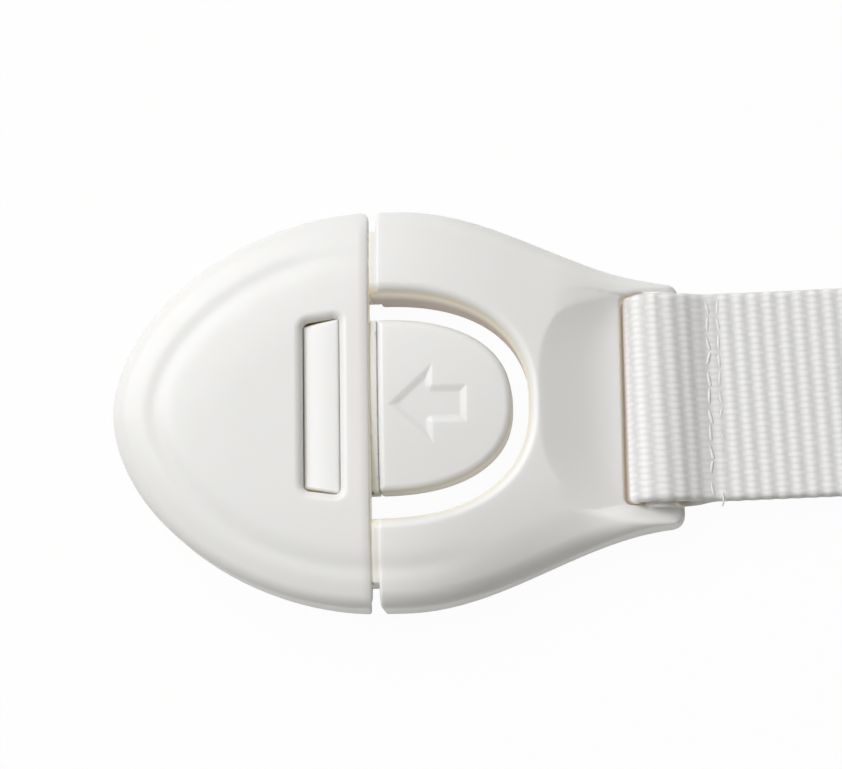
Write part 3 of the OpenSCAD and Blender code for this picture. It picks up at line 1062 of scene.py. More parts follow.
@dataclass
class Latch(StickOnBase):
    """The stick-on latch, with the socket for the buckle and the window for its catch."""

    body: ClassVar[Body] = Body.LATCH
    cover_step: ClassVar[float] = 0.19
    front: ClassVar[float] = 0.0
    length: float = 25.35
    width: float = 39.0
    height: float = 8.8
    wall: float = 2.0
    roof_z: float = 6.9
    socket_depth: float = 17.3
    mouth_fall: float = 0.22
    mouth_undercut: float = 0.6
    window_x: float = -6.5
    window_len: float = 3.6
    window_half: float = 8.7
    window_flare: float = 0.5
    # Share of painted shade at the seam by the buckle.
    seam_shade: float = 0.38
    peg_x: float = -20.15
    peg_y: float = 5.0
    peg_r: float = 1.2
    place: Place = Place(MOUTH_X)

    def pegs(self, x: Array, y: Array, z: Array, grow: float) -> Array:
        """The two locating pegs, or their holes."""
        pegs = np.hypot(x - self.peg_x, np.abs(y) - self.peg_y) - self.peg_r - grow
        return overlap(pegs, z - self.floor_z - 2.0 - grow, self.floor_z - 0.4 - z)

    def cover_shape(self, x: Array, y: Array, z: Array) -> Array:
        """The cover's field.

        Args:
            x: Places along it.
            y: Places across it.
            z: Heights.

        Returns:
            Signed distances, negative inside.
        """
        side = self.oval(x, y)
        fade = 1 - 0.55 * ease(x, -9.0, -2.0) * ease(y, 4.0, 10.0)
        mouth = np.clip(x + 1.0, 0.0, 1.0) ** 2
        top = self.height - self.profile.drop(-side, y, fade) - self.mouth_fall * mouth
        body = round_max(side, z - top, self.profile.edge_r * (1 - 0.3 * ease(-y, 4.0, 14.0)))
        back = self.mouth_undercut * ease(7.2 - z, 0.0, 1.2) * ease(np.abs(y), 16.9, 17.5)
        body = round_max(body, x + back, 0.25)
        body = round_max(body, self.base_z - z, 0.2)
        socket = overlap(side + self.wall, z - self.roof_z, self.floor_z - 0.2 - z, -self.socket_depth - x)
        body = cut(body, socket, 0.1)
        body = cut(body, np.maximum(side + self.rim, z - self.floor_z), 0.1)
        body = cut(body, self.pegs(x, y, z, 0.05), 0.05)
        return cut(body, np.maximum(self.window(x, y), self.roof_z - 0.5 - z), 0.8)

    def window(self, x: Array, y: Array) -> Array:
        """Distance from the window's outline."""
        half = self.window_half + self.window_flare * ((x - self.window_x) / self.window_len - 1.0)
        return round_max(np.abs(y) - half, within(x, self.window_x, self.window_x + self.window_len), 0.6)

    def cover_depth(self, x: Array, y: Array, z: Array) -> Array:
        """How much painted shade and painted glow the cover's points take in the window and the seam.

        Args:
            x: Places along it.
            y: Places across it.
            z: Heights.

        Returns:
            Shares from 0 to 1.
        """
        # Painted shade and glow round the window, strongest at its ends, and at the seam.
        window = np.clip(1.6 - np.abs(self.window(x, y)) / 0.25, 0.0, 1.0) * ease(8.4 - z, 0.0, 1.4)
        seam = self.seam_shade * ease(x, -0.1, -0.03) * ease(np.abs(y), 17.4, 17.0)
        return np.maximum(window * (0.35 + 0.65 * ease(np.abs(y), 7.4, 8.1)), seam)

    def plate_shape(self, x: Array, y: Array, z: Array) -> Array:
        """The back plate's field."""
        outline = np.maximum(self.oval(x, y) + self.rim + 0.15, x + 0.5)
        return np.minimum(self.plate(outline, z), self.pegs(x, y, z, 0.0))

    def pad_outline(self, x: Array, y: Array) -> Array:
        """Outline of the adhesive pad and its liner."""
        return round_max(self.oval(x, y) + self.pad_inset, x + self.pad_inset, 0.4)


@dataclass
class Buckle:
    """The buckle: its frame with prongs and tail, the latch arm with its catch, and the press button."""

    seam: float = 0.7
    width: float = 39.0
    height: float = 8.8
    base_z: float = 1.1
    insert_z: float = 2.5
    insert_top: float = 6.7
    insert_depth: float = 17.0
    insert_inset: float = 2.3
    crossbar: float = 3.6
    land_drop: float = 0.28
    land_gap: float = 0.03
    button_half: float = 8.4
    button_len: float = 12.95
    button_power: float = 2.35
    button_top: float = 8.4
    gap_side: float = 2.6
    gap_end: float = 1.6
    arm_z: float = 4.15
    arm_top: float = 5.65
    pivot_x: float = -14.99
    pivot_z: float = 4.9
    knuckle_r: float = 1.15
    catch_low: float = -6.45
    catch_high: float = -2.95
    catch_half: float = 8.58
    catch_flare: float = 0.65
    catch_z: tuple[float, float] = (7.7, 8.2)
    arrow_tip: float = 1.05
    arrow_len: float = 7.6
    arrow_head: float = 4.3
    arrow_half: float = 3.95
    shaft_half: float = 1.8
    arrow_depth: float = 0.2
    arrow_slope: float = 0.75
    skin: float = 1.8
    rail_wall: float = 2.4
    hollow_top: float = 2.7
    low_sag: float = 1.1
    arm_fall: float = 0.9
    arm_rise: float = 0.5
    gap_round: float = 1.1
    # Shares of painted shade in the gap round the button, at the seam and in the strap's slot.
    well_shade: tuple[float, float] = (0.42, 0.33)
    seam_shade: float = 0.13
    slot_shade: float = 0.4
    dome: tuple[float, float] = (0.0025, 0.0075)
    dome_top: tuple[float, float] = (1.0, 3.0)
    latch: Latch = field(default_factory=Latch)
    tail: Tail = Tail(29.3, 39.0, 8.8, slot_mid=0.4)
    place: Place = Place(MOUTH_X)

    @property
    def well_half(self) -> float:
        """Half the width of the opening round the button."""
        return self.button_half + self.gap_side

    def tongue(self, x: Array, y: Array) -> Array:
        """The U-shaped opening round the button."""
        reach = self.button_len + self.gap_end
        return oval_distance(x - self.seam, y, reach, self.well_half, self.button_power)

    def hollows(self, x: Array, y: Array, z: Array) -> Array:
        """The hollows under the rails and the shoulder.

        Args:
            x: Places along it.
            y: Places across it.
            z: Heights.

        Returns:
            Signed distances, negative inside.
        """
        rail_x, rail_end = self.seam + self.skin, self.seam + self.button_len / 2
        edge = -float(self.tail.side(np.array(rail_end - self.seam), np.array(0.0)))
        run = (rail_end - rail_x - self.skin) / 2
        across = within(np.abs(y), self.well_half + self.skin, edge - self.rail_wall)
        pair = np.minimum(within(x, rail_x, rail_x + run), within(x, rail_end - run, rail_end))
        rails = overlap(pair, across, z - self.height + self.rail_wall + self.skin)
        back_x = self.seam + self.button_len + self.gap_end + self.skin
        back_end = self.seam + self.tail.lip_x - self.skin
        third = self.tail.slot_half * 2 / 3
        cell = np.abs(np.where(np.abs(y) < third / 2, y, np.abs(y) - third)) - (third - self.skin) / 2
        return np.minimum(rails, overlap(within(x, back_x, back_end), cell, z - self.hollow_top))

    def insert_shape(self, x: Array, y: Array, z: Array, top: Array) -> Array:
        """The prongs and the crossbar that go into the latch, with the ledges under its fallen top.

        Args:
            x: Places along it.
            y: Places across it.
            z: Heights.
            top: Height of the frame's top.

        Returns:
            Signed distances, negative inside.
        """
        inset, end = self.latch.oval(x, y) + self.insert_inset, x - self.seam - 0.2
        plan = overlap(inset, -self.insert_depth - x, end)
        body = round_max(plan, within(z, self.insert_z, self.insert_top), 0.3)
        land = overlap(inset, z - top + self.land_drop, self.insert_z + 1.0 - z)
        land = overlap(cut(land, self.tongue(x, y), self.gap_round), self.land_gap - x, end)
        gap = np.maximum(np.abs(y) - self.well_half, -self.insert_depth + self.crossbar - x)
        return np.minimum(cut(body, gap, 0.2), land)

    def frame_shape(self, x: Array, y: Array, z: Array) -> Array:
        """The frame's field.

        Args:
            x: Places along it.
            y: Places across it.
            z: Heights.

        Returns:
            Signed distances, negative inside.
        """
        u = x - self.seam
        side = self.tail.side(u, y)
        fade = (1.1 - 1.1 * ease(u, 3.0, 12.0)) * (1 - 0.85 * ease(y, 4.0, 10.0))
        sag = self.latch.profile.drop(-side, y, fade) * (1 - 0.7 * ease(u, 15.0, 27.0))
        low = np.clip((-y - 7.0) / 9.0, 0.0, 1.2) ** 2
        sag = sag + self.low_sag * low * ease(u, 1.0, 15.0) * (1 - ease(u, 20.0, 28.0))
        fallen = self.arm_fall * ease(y, 9.5, 11.5) * ease(u, 17.0, 25.0)
        raised = self.arm_rise * ease(-y, 9.0, 10.5) * ease(u, 19.0, 25.0)
        top = self.tail.crown(u) - sag - (fallen - raised)
        body = round_max(side, z - top, self.latch.profile.edge_r * (1 - 0.5 * ease(u, 20.0, 27.0)))
        body = round_max(body, u - self.tail.length, self.tail.end_r)
        body = cut(body, self.tongue(x, y), self.gap_round + 0.1 * ease(x, 9.0, 14.0))
        body = round_max(body, -u, 0.3)
        body = self.tail.carve(body, u, y, z, sag)
        body = round_max(body, self.base_z - z, 0.25)
        body = cut(body, self.hollows(x, y, z), 0.15)
        body = join(body, self.insert_shape(x, y, z, top), 0.1)
        knuckle = np.hypot(x - self.pivot_x, z - self.pivot_z) - self.knuckle_r - 0.06
        mouth = overlap(self.pivot_x - x, np.abs(z - self.pivot_z) - 1.0, x - self.pivot_x - self.crossbar)
        return cut(body, np.maximum(np.minimum(knuckle, mouth), np.abs(y) - self.well_half), 0.05)

    def frame_depth(self, x: Array, y: Array, z: Array) -> Array:
        """How much painted shade and painted glow the frame's points take in the gap round the button, the
        seam and the slot.

        Args:
            x: Places along it.
            y: Places across it.
            z: Heights.

        Returns:
            Shares from 0 to 1.
        """
        # Painted shade and glow down the gap's walls, at the seam and on the slot's wall.
        gap = np.clip(1.4 - np.abs(self.tongue(x, y)), 0.0, 1.0) * ease(x, -0.3, 0.0)
        low = self.tail.crown(x - self.seam) - z
        upper, lower = self.well_shade
        gap = gap * (upper * ease(low, 0.1, 0.95) + lower * ease(low, 1.2, 4.7))
        seam = self.seam_shade * ease(0.72 - x, 0.0, 0.1)
        slot = np.clip(1.3 - np.abs(self.tail.slot(x - self.seam, y)) / 0.3, 0.0, 1.0)
        slot = slot * ease(5.6 - z, 0.0, 1.5)
        return np.maximum(np.maximum(gap, seam), self.slot_shade * slot)

    def arm_depth(self, x: Array, y: Array, z: Array) -> Array:
        """How much painted shade and painted glow the arm's points take in the window and the seam."""
        # Painted shade and glow on the catch down in the window, and at the seam.
        window = ease(7.6 - z, 0.0, 0.7) * ease(z, 5.9, 6.6) * (0.35 + 0.3 * ease(np.abs(y), 7.4, 7.9))
        return np.where(x < -1.0, window, self.seam_shade * ease(x, -0.1, 0.0))

    def arrow(self, x: Array, y: Array) -> Array:
        """Distance from the arrow on the button.

        Args:
            x: Places along it.
            y: Places across it.

        Returns:
            Signed distances, negative inside.
        """
        tip = self.seam + self.arrow_tip
        head, end = tip + self.arrow_head, tip + self.arrow_len
        a, s = self.arrow_half, self.shaft_half
        side = [(tip, 0.0), (head, a), (head, s), (end, s)]
        return polygon_distance(x, y, side + [(px, -py) for px, py in side[:0:-1]])

    def button_face(self, x: Array, y: Array) -> Array:
        """Height of the button's slightly domed face."""
        (along, across), (mid_x, mid_y) = self.dome, self.dome_top
        return self.button_top - across * (y - mid_y) ** 2 - along * (x - mid_x) ** 2

    def button_shape(self, x: Array, y: Array, z: Array) -> Array:
        """The press button's field.

        Args:
            x: Places along it.
            y: Places across it.
            z: Heights.

        Returns:
            Signed distances, negative inside.
        """
        plan = oval_distance(x - self.seam, y, self.button_len, self.button_half, self.button_power)
        plan = round_max(plan, self.seam - x, 0.45)
        recess = self.arrow_depth * ease(-self.arrow(x, y), -0.1, self.arrow_slope)
        body = round_max(plan, z - self.button_face(x, y) + recess, 0.7)
        return round_max(body, self.arm_z - z, 0.2)

    def arm_shape(self, x: Array, y: Array, z: Array) -> Array:
        """The latch arm's field.

        Args:
            x: Places along it.
            y: Places across it.
            z: Heights.

        Returns:
            Signed distances, negative inside.
        """
        slab = overlap(self.pivot_x - x, x - self.seam - 0.02, np.abs(y) - self.button_half)
        slab = round_max(slab, within(z, self.arm_z, self.arm_top), 0.15)
        root = np.hypot(x - self.pivot_x, z - self.pivot_z) - self.knuckle_r
        slab = join(slab, np.maximum(root, np.abs(y) - self.button_half), 0.2)
        land = overlap(self.land_gap - x, x - self.seam - 0.02, np.abs(y) - self.button_half + 0.1)
        land = overlap(land, z - self.button_face(x, y) + 0.14, self.arm_z + 0.5 - z)
        slab = join(slab, land, 0.1)
        s = np.clip((x - self.catch_low) / (self.catch_high - self.catch_low), 0.0, 1.0)
        low, high = self.catch_z
        top = low + (high - low) * (1 - (1 - s) ** 2.2)
        width = self.catch_half - self.catch_flare * (1 - s)
        plan = overlap(self.catch_low - x, x - self.catch_high, np.abs(y) - width, self.arm_top - 0.5 - z)
        return join(slab, round_max(plan, (z - top) * 0.85, 0.25), 0.2)

    def build(self) -> list[Piece]:
        """Builds the buckle's pieces.

        Returns:
            The pieces.
        """
        half, wide, r = self.width / 2, self.button_half, self.knuckle_r
        end, button_end = self.seam + self.tail.length, self.seam + self.button_len
        frame_box = (-self.insert_depth, -half, self.base_z), (end, half, self.height)
        arm_box = (self.pivot_x - r, -wide, self.pivot_z - r), (self.seam, wide, self.button_top)
        button_box = (self.seam, -wide, self.arm_z), (button_end, wide, self.button_top)
        pieces = []
        for node, body, shape, box, step, depth in (
            ("buckle_frame", Body.BUCKLE, self.frame_shape, frame_box, 0.2, self.frame_depth),
            ("latch_arm", Body.BUTTON, self.arm_shape, arm_box, 0.16, self.arm_depth),
            ("press_button", Body.BUTTON, self.button_shape, button_box, 0.115, None),
        ):
            made = moulded(f"{node}_moulding", shape, *box, step, self.place, HOUSING, depth)
            pieces.append(settle_piece(made, body, Slot.HOUSING, node))
        return pieces


@dataclass
class Anchor(StickOnBase):
    """The stick-on anchor at the strap's far end, drawn with its tail along +X and then turned round."""

    body: ClassVar[Body] = Body.ANCHOR
    cover_step: ClassVar[float] = 0.21
    length: float = 18.0
    width: float = 36.0
    height: float = 7.6
    hollow_r: float = 4.0
    hollow: tuple[float, float] = (-7.0, 6.0)
    hollow_z: float = 5.1
    tail: Tail = Tail(20.0, 36.0, 7.6)
    place: Place = Place(158.1, True)

    def side(self, x: Array, y: Array) -> Array:
        """Distance from the outline of the oval and the tail."""
        return np.where(x < 0, self.oval(x, y), self.tail.side(x, y))

    @property
    def front(self) -> float:
        """Where the cover ends along the tail."""
        return self.tail.length

    def base(self, x: Array, y: Array, inset: float) -> Array:
        """Outline of the seat, plate and pad: the oval with a tongue into the tail.

        Args:
            x: Places along it.
            y: Places across it.
            inset: How far it lies inside the cover's outline.

        Returns:
            Signed distances, negative inside.
        """
        oval = np.maximum(self.oval(x, y) + inset, x)
        reach = self.tail.lip_x - inset
        half = -float(self.tail.side(np.array(reach), np.array(0.0))) * 1.05 - inset
        tongue = overlap(-0.2 - x, x - reach, np.abs(y) - half)
        return np.minimum(oval, tongue)

    def cover_shape(self, x: Array, y: Array, z: Array) -> Array:
        """The cover's field.

        Args:
            x: Places along it.
            y: Places across it.
            z: Heights.

        Returns:
            Signed distances, negative inside.
        """
        side = self.side(x, y)
        fade = 1 - ease(x, 0.0, 8.0)
        sag = self.profile.drop(-side, y, fade) * (1 - 0.7 * ease(x, 8.0, 18.0))
        top = self.tail.crown(x) - sag
        body = round_max(side, z - top, self.profile.edge_r)
        body = round_max(body, x - self.tail.length, self.tail.end_r)
        body = self.tail.carve(body, x, y, z, sag)
        body = round_max(body, self.base_z - z, 0.2)
        body = cut(body, np.maximum(self.base(x, y, self.rim), z - self.floor_z), 0.1)
        hx, hy = self.hollow
        well = np.hypot(x - hx, np.abs(y) - hy) - self.hollow_r
        return cut(body, np.maximum(well, z - self.hollow_z), 0.15)

    def plate_shape(self, x: Array, y: Array, z: Array) -> Array:
        """The back plate's field."""
        return self.plate(self.base(x, y, self.rim + 0.15), z)

    def pad_outline(self, x: Array, y: Array) -> Array:
        """Outline of the adhesive pad and its liner."""
        return self.base(x, y, self.pad_inset)


# Geometry node trees


class NodeTool:
    """A geometry node tree with named inputs, run on an object to give a plain mesh."""

    def __init__(self, name: str, inputs: dict[str, str]) -> None:
        """Makes the tree.

        Args:
            name: The tree's name.
            inputs: Socket types by input name, besides the geometry.
        """
        self.tree = bpy.data.node_groups.new(name, "GeometryNodeTree")
        face = self.tree.interface
        face.new_socket("Geometry", in_out="INPUT", socket_type="NodeSocketGeometry")
        self.keys = {
            n: face.new_socket(n, in_out="INPUT", socket_type=kind).identifier for n, kind in inputs.items()
        }
        face.new_socket("Geometry", in_out="OUTPUT", socket_type="NodeSocketGeometry")
        self.graph = Graph(self.tree)
        self.start = self.graph.add("NodeGroupInput")

    def given(self, name: str) -> Socket:
        """One of the tree's inputs."""
        return self.start.other(name)

    def attribute(self, name: str) -> Socket:
        """A number stored on the points."""
        return self.graph.add("GeometryNodeInputNamedAttribute", {"data_type": "FLOAT"}, {"Name": name})

    def vector(self, operation: str, *values: Value) -> Socket:
        """A Vector Math node."""
        return self.graph.add("ShaderNodeVectorMath", {"operation": operation}, dict(enumerate(values)))

    def scaled(self, direction: Socket, size: Value) -> Socket:
        """A direction times a number."""
        return self.graph.add("ShaderNodeVectorMath", {"operation": "SCALE"}, {0: direction, "Scale": size})

    def random(self, low: float, high: float, seed: Value) -> Socket:
        """A random number for each point."""
        inputs = {2: low, 3: high, "Seed": seed}
        return self.graph.add("FunctionNodeRandomValue", {"data_type": "FLOAT"}, inputs, out=1)

    def finish(self, geometry: Socket) -> None:
        """Ends the tree with real geometry and its material.

        Args:
            geometry: What the tree has made.
        """
        plain = self.graph.add("GeometryNodeRealizeInstances", {}, {0: geometry})
        smooth = self.graph.add("GeometryNodeSetShadeSmooth", {}, {0: plain})
        inputs = {"Geometry": smooth, "Material": self.given("Material")}
        dressed = self.graph.add("GeometryNodeSetMaterial", {}, inputs)
        self.graph.add("NodeGroupOutput", {}, {0: dressed})

    def run(self, source: Piece, values: dict[str, Any], name: str) -> Piece:
        """Runs the tree on an object.

        Args:
            source: The object that the tree starts from, which is used up.
            values: The inputs by name.
            name: The new object's name.

        Returns:
            A plain mesh object.
        """
        modifier = source.modifiers.new(self.tree.name, "NODES")
        modifier.node_group = self.tree
        for key, value in values.items():
            modifier[self.keys[key]] = value
        return plain_mesh(source, name)


def webbing_tool() -> NodeTool:
    """The tree that weaves a flat strip and lays it along a path.

    Returns:
        The tool, whose source has the numbers along, across, face and ribs on its points.
    """
    sizes = ["Pitch", "Core", "Rib", "Half Width", "Lean"]
    inputs = {"Path": "NodeSocketObject", "Material": "NodeSocketMaterial"}
    tool = NodeTool("ribbed_webbing", inputs | {s: "NodeSocketFloat" for s in sizes})
    graph, given = tool.graph, tool.given
    along, across, face, ribs = (tool.attribute(n) for n in ("along", "across", "face", "ribs"))
    v = across * given("Half Width")
    cell = (along + v * given("Lean")) / given("Pitch")
    u = cell - cell.math("FLOOR") - 0.5
    rib = (0.5 + (u * math.tau).math("COSINE") * 0.5) * ribs
    half = given("Core") + given("Rib") * rib
    brim = ((across.math("ABSOLUTE") - 0.94) / 0.06).math("MAXIMUM", 0.0).math("MINIMUM", 1.0)
    half = half * (1.02 - brim * brim).math("SQRT")
    path = graph.add("GeometryNodeObjectInfo", {}, {"Object": given("Path")}, out="Geometry")
    settings = {"mode": "LENGTH", "use_all_curves": True}
    spot = graph.add("GeometryNodeSampleCurve", settings, {"Curves": path, "Length": along}, out="Position")
    forward = spot.other("Tangent")
    up = tool.vector("NORMALIZE", tool.vector("CROSS_PRODUCT", forward, (0.0, 1.0, 0.0)))
    aside = tool.vector("CROSS_PRODUCT", up, forward)
    place = tool.vector("ADD", spot, tool.scaled(aside, v * (0.996 + 0.004 * rib)))
    place = tool.vector("ADD", place, tool.scaled(up, face * half))
    moved = graph.add("GeometryNodeSetPosition", {}, {"Geometry": given("Geometry"), "Position": place})
    tool.finish(moved)
    return tool


def stitch_tool() -> NodeTool:
    """The tree that lays arched zig-zag strands along a row of points.

    Returns:
        The tool, whose source has one point for each strand and the number turn on it.
    """
    inputs = {"Length": "NodeSocketFloat", "Radius": "NodeSocketFloat", "Lift": "NodeSocketFloat"}
    inputs |= {"Flip": "NodeSocketFloat", "Seed": "NodeSocketInt", "Material": "NodeSocketMaterial"}
    tool = NodeTool("zigzag_stitches", inputs)
    graph, given = tool.graph, tool.given
    half = given("Length") * 0.5
    ends = [graph.xyz(0.0, half * way, given("Lift") * -0.6) for way in (-1, 1)]
    top = graph.xyz(0.0, 0.0, given("Lift") * 1.4)
    arch = {"Resolution": 10, "Start": ends[0], "Middle": top, "End": ends[1]}
    line = graph.add("GeometryNodeCurveQuadraticBezier", {}, arch)
    ring = graph.add("GeometryNodeCurvePrimitiveCircle", {}, {"Resolution": 8, "Radius": given("Radius")})
    sweep = {"Curve": line, "Profile Curve": ring, "Fill Caps": True}
    strand = graph.add("GeometryNodeCurveToMesh", {}, sweep)
    jitter = tool.random(-0.2, 0.2, given("Seed"))
    stretch = tool.random(0.82, 1.12, given("Seed") + 7)
    turn = graph.xyz(0.0, given("Flip") * math.pi, tool.attribute("turn") + jitter)
    size = graph.xyz(1.25, stretch, 0.6)
    spread = {"Points": given("Geometry"), "Instance": strand, "Rotation": turn, "Scale": size}
    laid = graph.add("GeometryNodeInstanceOnPoints", {}, spread)
    tool.finish(laid)
    return tool


@dataclass
class Strap:
    """The webbing strap, with a sewn loop round the bar at each end."""

    width: float = 20.4
    thickness: float = 1.3
    near_bar: float = 40.3
    far_bar: float = 140.3
    bar_z: float = 3.7
    loop_r: tuple[float, float] = (2.85, 2.5)
    loop_power: float = 2.5
    sew_in: float = 4.8
    turn_back: float = 3.28
    bow: float = 0.6
    drift: float = 0.4
    rib_high: float = 0.08
    fold_half: float = 9.0
    stitches: int = 11
    zigzag: float = 0.25
    thread_r: float = 0.13
    sew_mid: float = 0.55
    row_half: float = 0.53
    sunk: float = 0.09
    raised: float = 0.17
    seeds: tuple[int, int] = (11, 23)
    past_loop: float = 12.0
    end_shift: float = 0.3
    wave: float = 0.08
    waves: int = 5
    lane: float = 0.2
    pressed: float = 0.65
    pressed_reach: float = 1.7
    # Strength of the painted shade on the loop under the slot's lip.
    lip_shade: float = 0.6
    blur: int = 8
    spacing: float = 0.15

    def __post_init__(self) -> None:
        """Works out the webbing's path, its length and where it is sewn."""
        self.middle = (self.near_bar + self.far_bar) / 2
        self.line = self.path()
        line = self.line * MM
        steps = np.linalg.norm(np.diff(line, axis=0), axis=1)
        travelled = np.cumsum(steps)
        self.length = float(steps.sum())
        self.run = np.concatenate([[0.0], travelled]) / MM
        sewn_x = (self.near_bar + self.sew_in + self.sew_mid) * MM
        upper = np.flatnonzero((line[1:, 0] > sewn_x) & (travelled > self.past_loop * MM))
        sewing = float(travelled[upper[0]]) - 1.0 * MM
        self.sewn = (sewing, self.length - sewing)

    def sway(self, share: Array) -> Array:
        """How far the strap lies to one side, at a share of its way between the bars."""
        return self.drift * (1 - ease(share, 0.3, 0.9)) + self.bow * np.sin(math.pi * share)

    def loop(self) -> list[tuple[float, float]]:
        """Half of a loop's path from the sewing to the bar's far side, with the bar at the origin.

        Returns:
            Places along the strap and heights.
        """
        layer = self.thickness / 2
        turn = np.linspace(0.2, math.pi, 90)
        (a, b), p = self.loop_r, self.loop_power
        r = (np.abs(np.cos(turn) / a) ** p + np.abs(np.sin(turn) / b) ** p) ** (-1 / p)
        x, z = r * np.cos(turn), r * np.sin(turn)
        start = int(np.argmax(np.arctan2(z - layer, self.sew_in - x)))
        flat = [(self.sew_in + self.turn_back, layer), (self.sew_in, layer)]
        return flat + list(zip(x[start:], z[start:]))

    def path(self) -> Array:
        """The webbing's centre line from one turned-back end to the other, evenly spaced in millimetres.

        Returns:
            Points in the part's frame.
        """
        upper = self.loop()
        near = [(x, -z) for x, z in upper] + upper[::-1][1:]
        points = [(self.near_bar + x, self.bar_z + z) for x, z in near]
        points += [(self.far_bar - x, self.bar_z - z) for x, z in near]
        line = even_points(np.array(points), 0.1)
        n = self.blur
        for _ in range(3):
            line[n:-n] = sum(line[n + k : len(line) - n + k] for k in range(-n, n + 1)) / (2 * n + 1)
        line = even_points(line, self.spacing)
        share = np.clip((line[:, 0] - self.near_bar) / (self.far_bar - self.near_bar), 0.0, 1.0)
        run = np.arange(len(line)) * self.spacing
        tucked = self.end_shift * (1 - ease(np.minimum(run, run[::-1]), 2.0, 6.0))
        sway = self.sway(share) + tucked
        lift = self.wave * np.sin(math.pi * share * self.waves) * np.sin(math.pi * share)
        return np.stack([line[:, 0], sway, line[:, 1] + lift], 1)

    def strip(self, name: str, start: float, end: float) -> Piece:
        """A flat closed strip of the webbing, numbered for the weaving tree.

        Args:
            name: The object's name.
            start: Where along the path it starts, in metres.
            end: Where it ends.

        Returns:
            A mesh object with the numbers along, across, face, ribs and lip_shade, the painted shade under
            the slot's lip.
        """
        rows = max(2, round((end - start) / (STRAP_WEAVE.rib_pitch / 10)))
        lanes = round(self.width / self.lane)
        s = np.linspace(start, end, rows + 1)
        v = np.linspace(-1.0, 1.0, lanes + 1)
        v = np.sign(v) * (1 - (1 - np.abs(v)) ** 1.06)
        ring_v = np.concatenate([v, v[::-1]])
        ring_f = np.concatenate([np.ones(lanes + 1), -np.ones(lanes + 1)])
        m = len(ring_v)
        along = np.repeat(s, m)
        across, face = np.tile(ring_v, rows + 1), np.tile(ring_f, rows + 1)
        i, j = np.meshgrid(np.arange(rows), np.arange(m), indexing="ij")
        k = (j + 1) % m
        quads = np.stack([i * m + j, (i + 1) * m + j, (i + 1) * m + k, i * m + k], -1).reshape(-1, 4)
        lane = np.arange(lanes)
        cap = np.stack([lane, lane + 1, m - 2 - lane, m - 1 - lane], 1)
        faces = np.concatenate([quads, cap, cap[:, ::-1] + rows * m])
        flat = np.stack([along, across * self.width / 2 * MM, face * MM], 1)
        made = mesh_from(name, flat, faces, STRAP_WEAVE.material())
        sewn = np.minimum(np.abs(along - self.sewn[0]), np.abs(along - self.sewn[1])) / MM
        ribs = 1 - self.pressed * np.exp(-((sewn / self.pressed_reach) ** 2))
        low = self.bar_z + 1.5 - np.interp(along / MM, self.run, self.line[:, 2])
        spot = np.interp(along / MM, self.run, self.line[:, 0])
        inside = np.abs(spot - self.middle) > self.middle - self.near_bar + 1.5
        # Painted shade where the loop runs down just under the slot's lip.
        lip_shade = self.lip_shade * inside * ease(low, 0.1, 0.6) * (1 - ease(low, 1.2, 1.8))
        numbers = {"along": along, "across": across, "face": face, "ribs": ribs, "lip_shade": lip_shade}
        for key, values in numbers.items():
            put_numbers(made, key, values)
        return made

    def weave(self) -> list[Piece]:
        """Weaves the two halves of the strap.

        Returns:
            The near half and the far half.
        """
        guide = curve_from("strap_path", self.line * MM)
        tool = webbing_tool()
        values = {
            "Path": guide,
            "Pitch": STRAP_WEAVE.rib_pitch,
            "Core": (self.thickness / 2 - self.rib_high) * MM,
            "Rib": self.rib_high * MM,
            "Half Width": self.width / 2 * MM,
            "Lean": STRAP_WEAVE.lean,
            "Material": STRAP_WEAVE.material(),
        }
        halves = []
        for name, start, end, node in (
            ("strap_webbing_near", 0.0, self.length / 2, "strap_near"),
            ("strap_webbing_far", self.length / 2, self.length, "strap_far"),
        ):
            half = tool.run(self.strip(f"{name}_flat", start, end), values, name)
            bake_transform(half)
            halves.append(dress_record(half, Slot.WEBBING, node))
        bpy.data.objects.remove(guide, do_unlink=True)
        return halves

    def stitch(self, name: str, bar: float, way: int) -> Piece:
        """Sews the zig-zag of one loop on both faces of the webbing.

        Args:
            name: The piece's name.
            bar: X of the loop's bar.
            way: 1 where the strap runs along +X from the bar, and -1 where it runs back.

        Returns:
            The stitches as one mesh.
        """
        tool = stitch_tool()
        step = (self.width - 1.0) / self.stitches
        middle = self.sew_in + self.sew_mid
        turn = math.atan2(self.zigzag, step)
        share = (bar + way * middle - self.near_bar) / (self.far_bar - self.near_bar)
        order = np.arange(self.stitches)
        y = -self.width / 2 + 0.5 + step * (order + 0.5) + float(self.sway(np.array(share)))
        x = np.full(len(order), bar + way * middle)
        angles = turn * np.where(order % 2 == 0, 1.0, -1.0)
        parts = []
        for face, side, seed in zip((1, -1), ("top", "under"), self.seeds):
            z = np.full(len(order), self.bar_z + face * (self.thickness - self.sunk))
            near = np.stack([x - way * self.row_half, y, z + face * self.raised], 1)
            far = np.stack([x + way * self.row_half, y, z], 1)
            points = np.concatenate([near, far]) * MM
            source = linked(f"{name}_points", bpy.data.meshes.new(f"{name}_points"))
            source.data.from_pydata(points.tolist(), [], [])
            put_numbers(source, "turn", np.concatenate([angles, -angles]))
            values = {
                "Length": 0.95 * step * MM,
                "Radius": self.thread_r * MM,
                "Lift": 0.1 * MM,
                "Flip": 0.0 if face > 0 else 1.0,
                "Seed": seed,
                "Material": STRAP_THREAD.material(),
            }
            parts.append(tool.run(source, values, f"{name}_{side}"))
        return joined(parts, name)

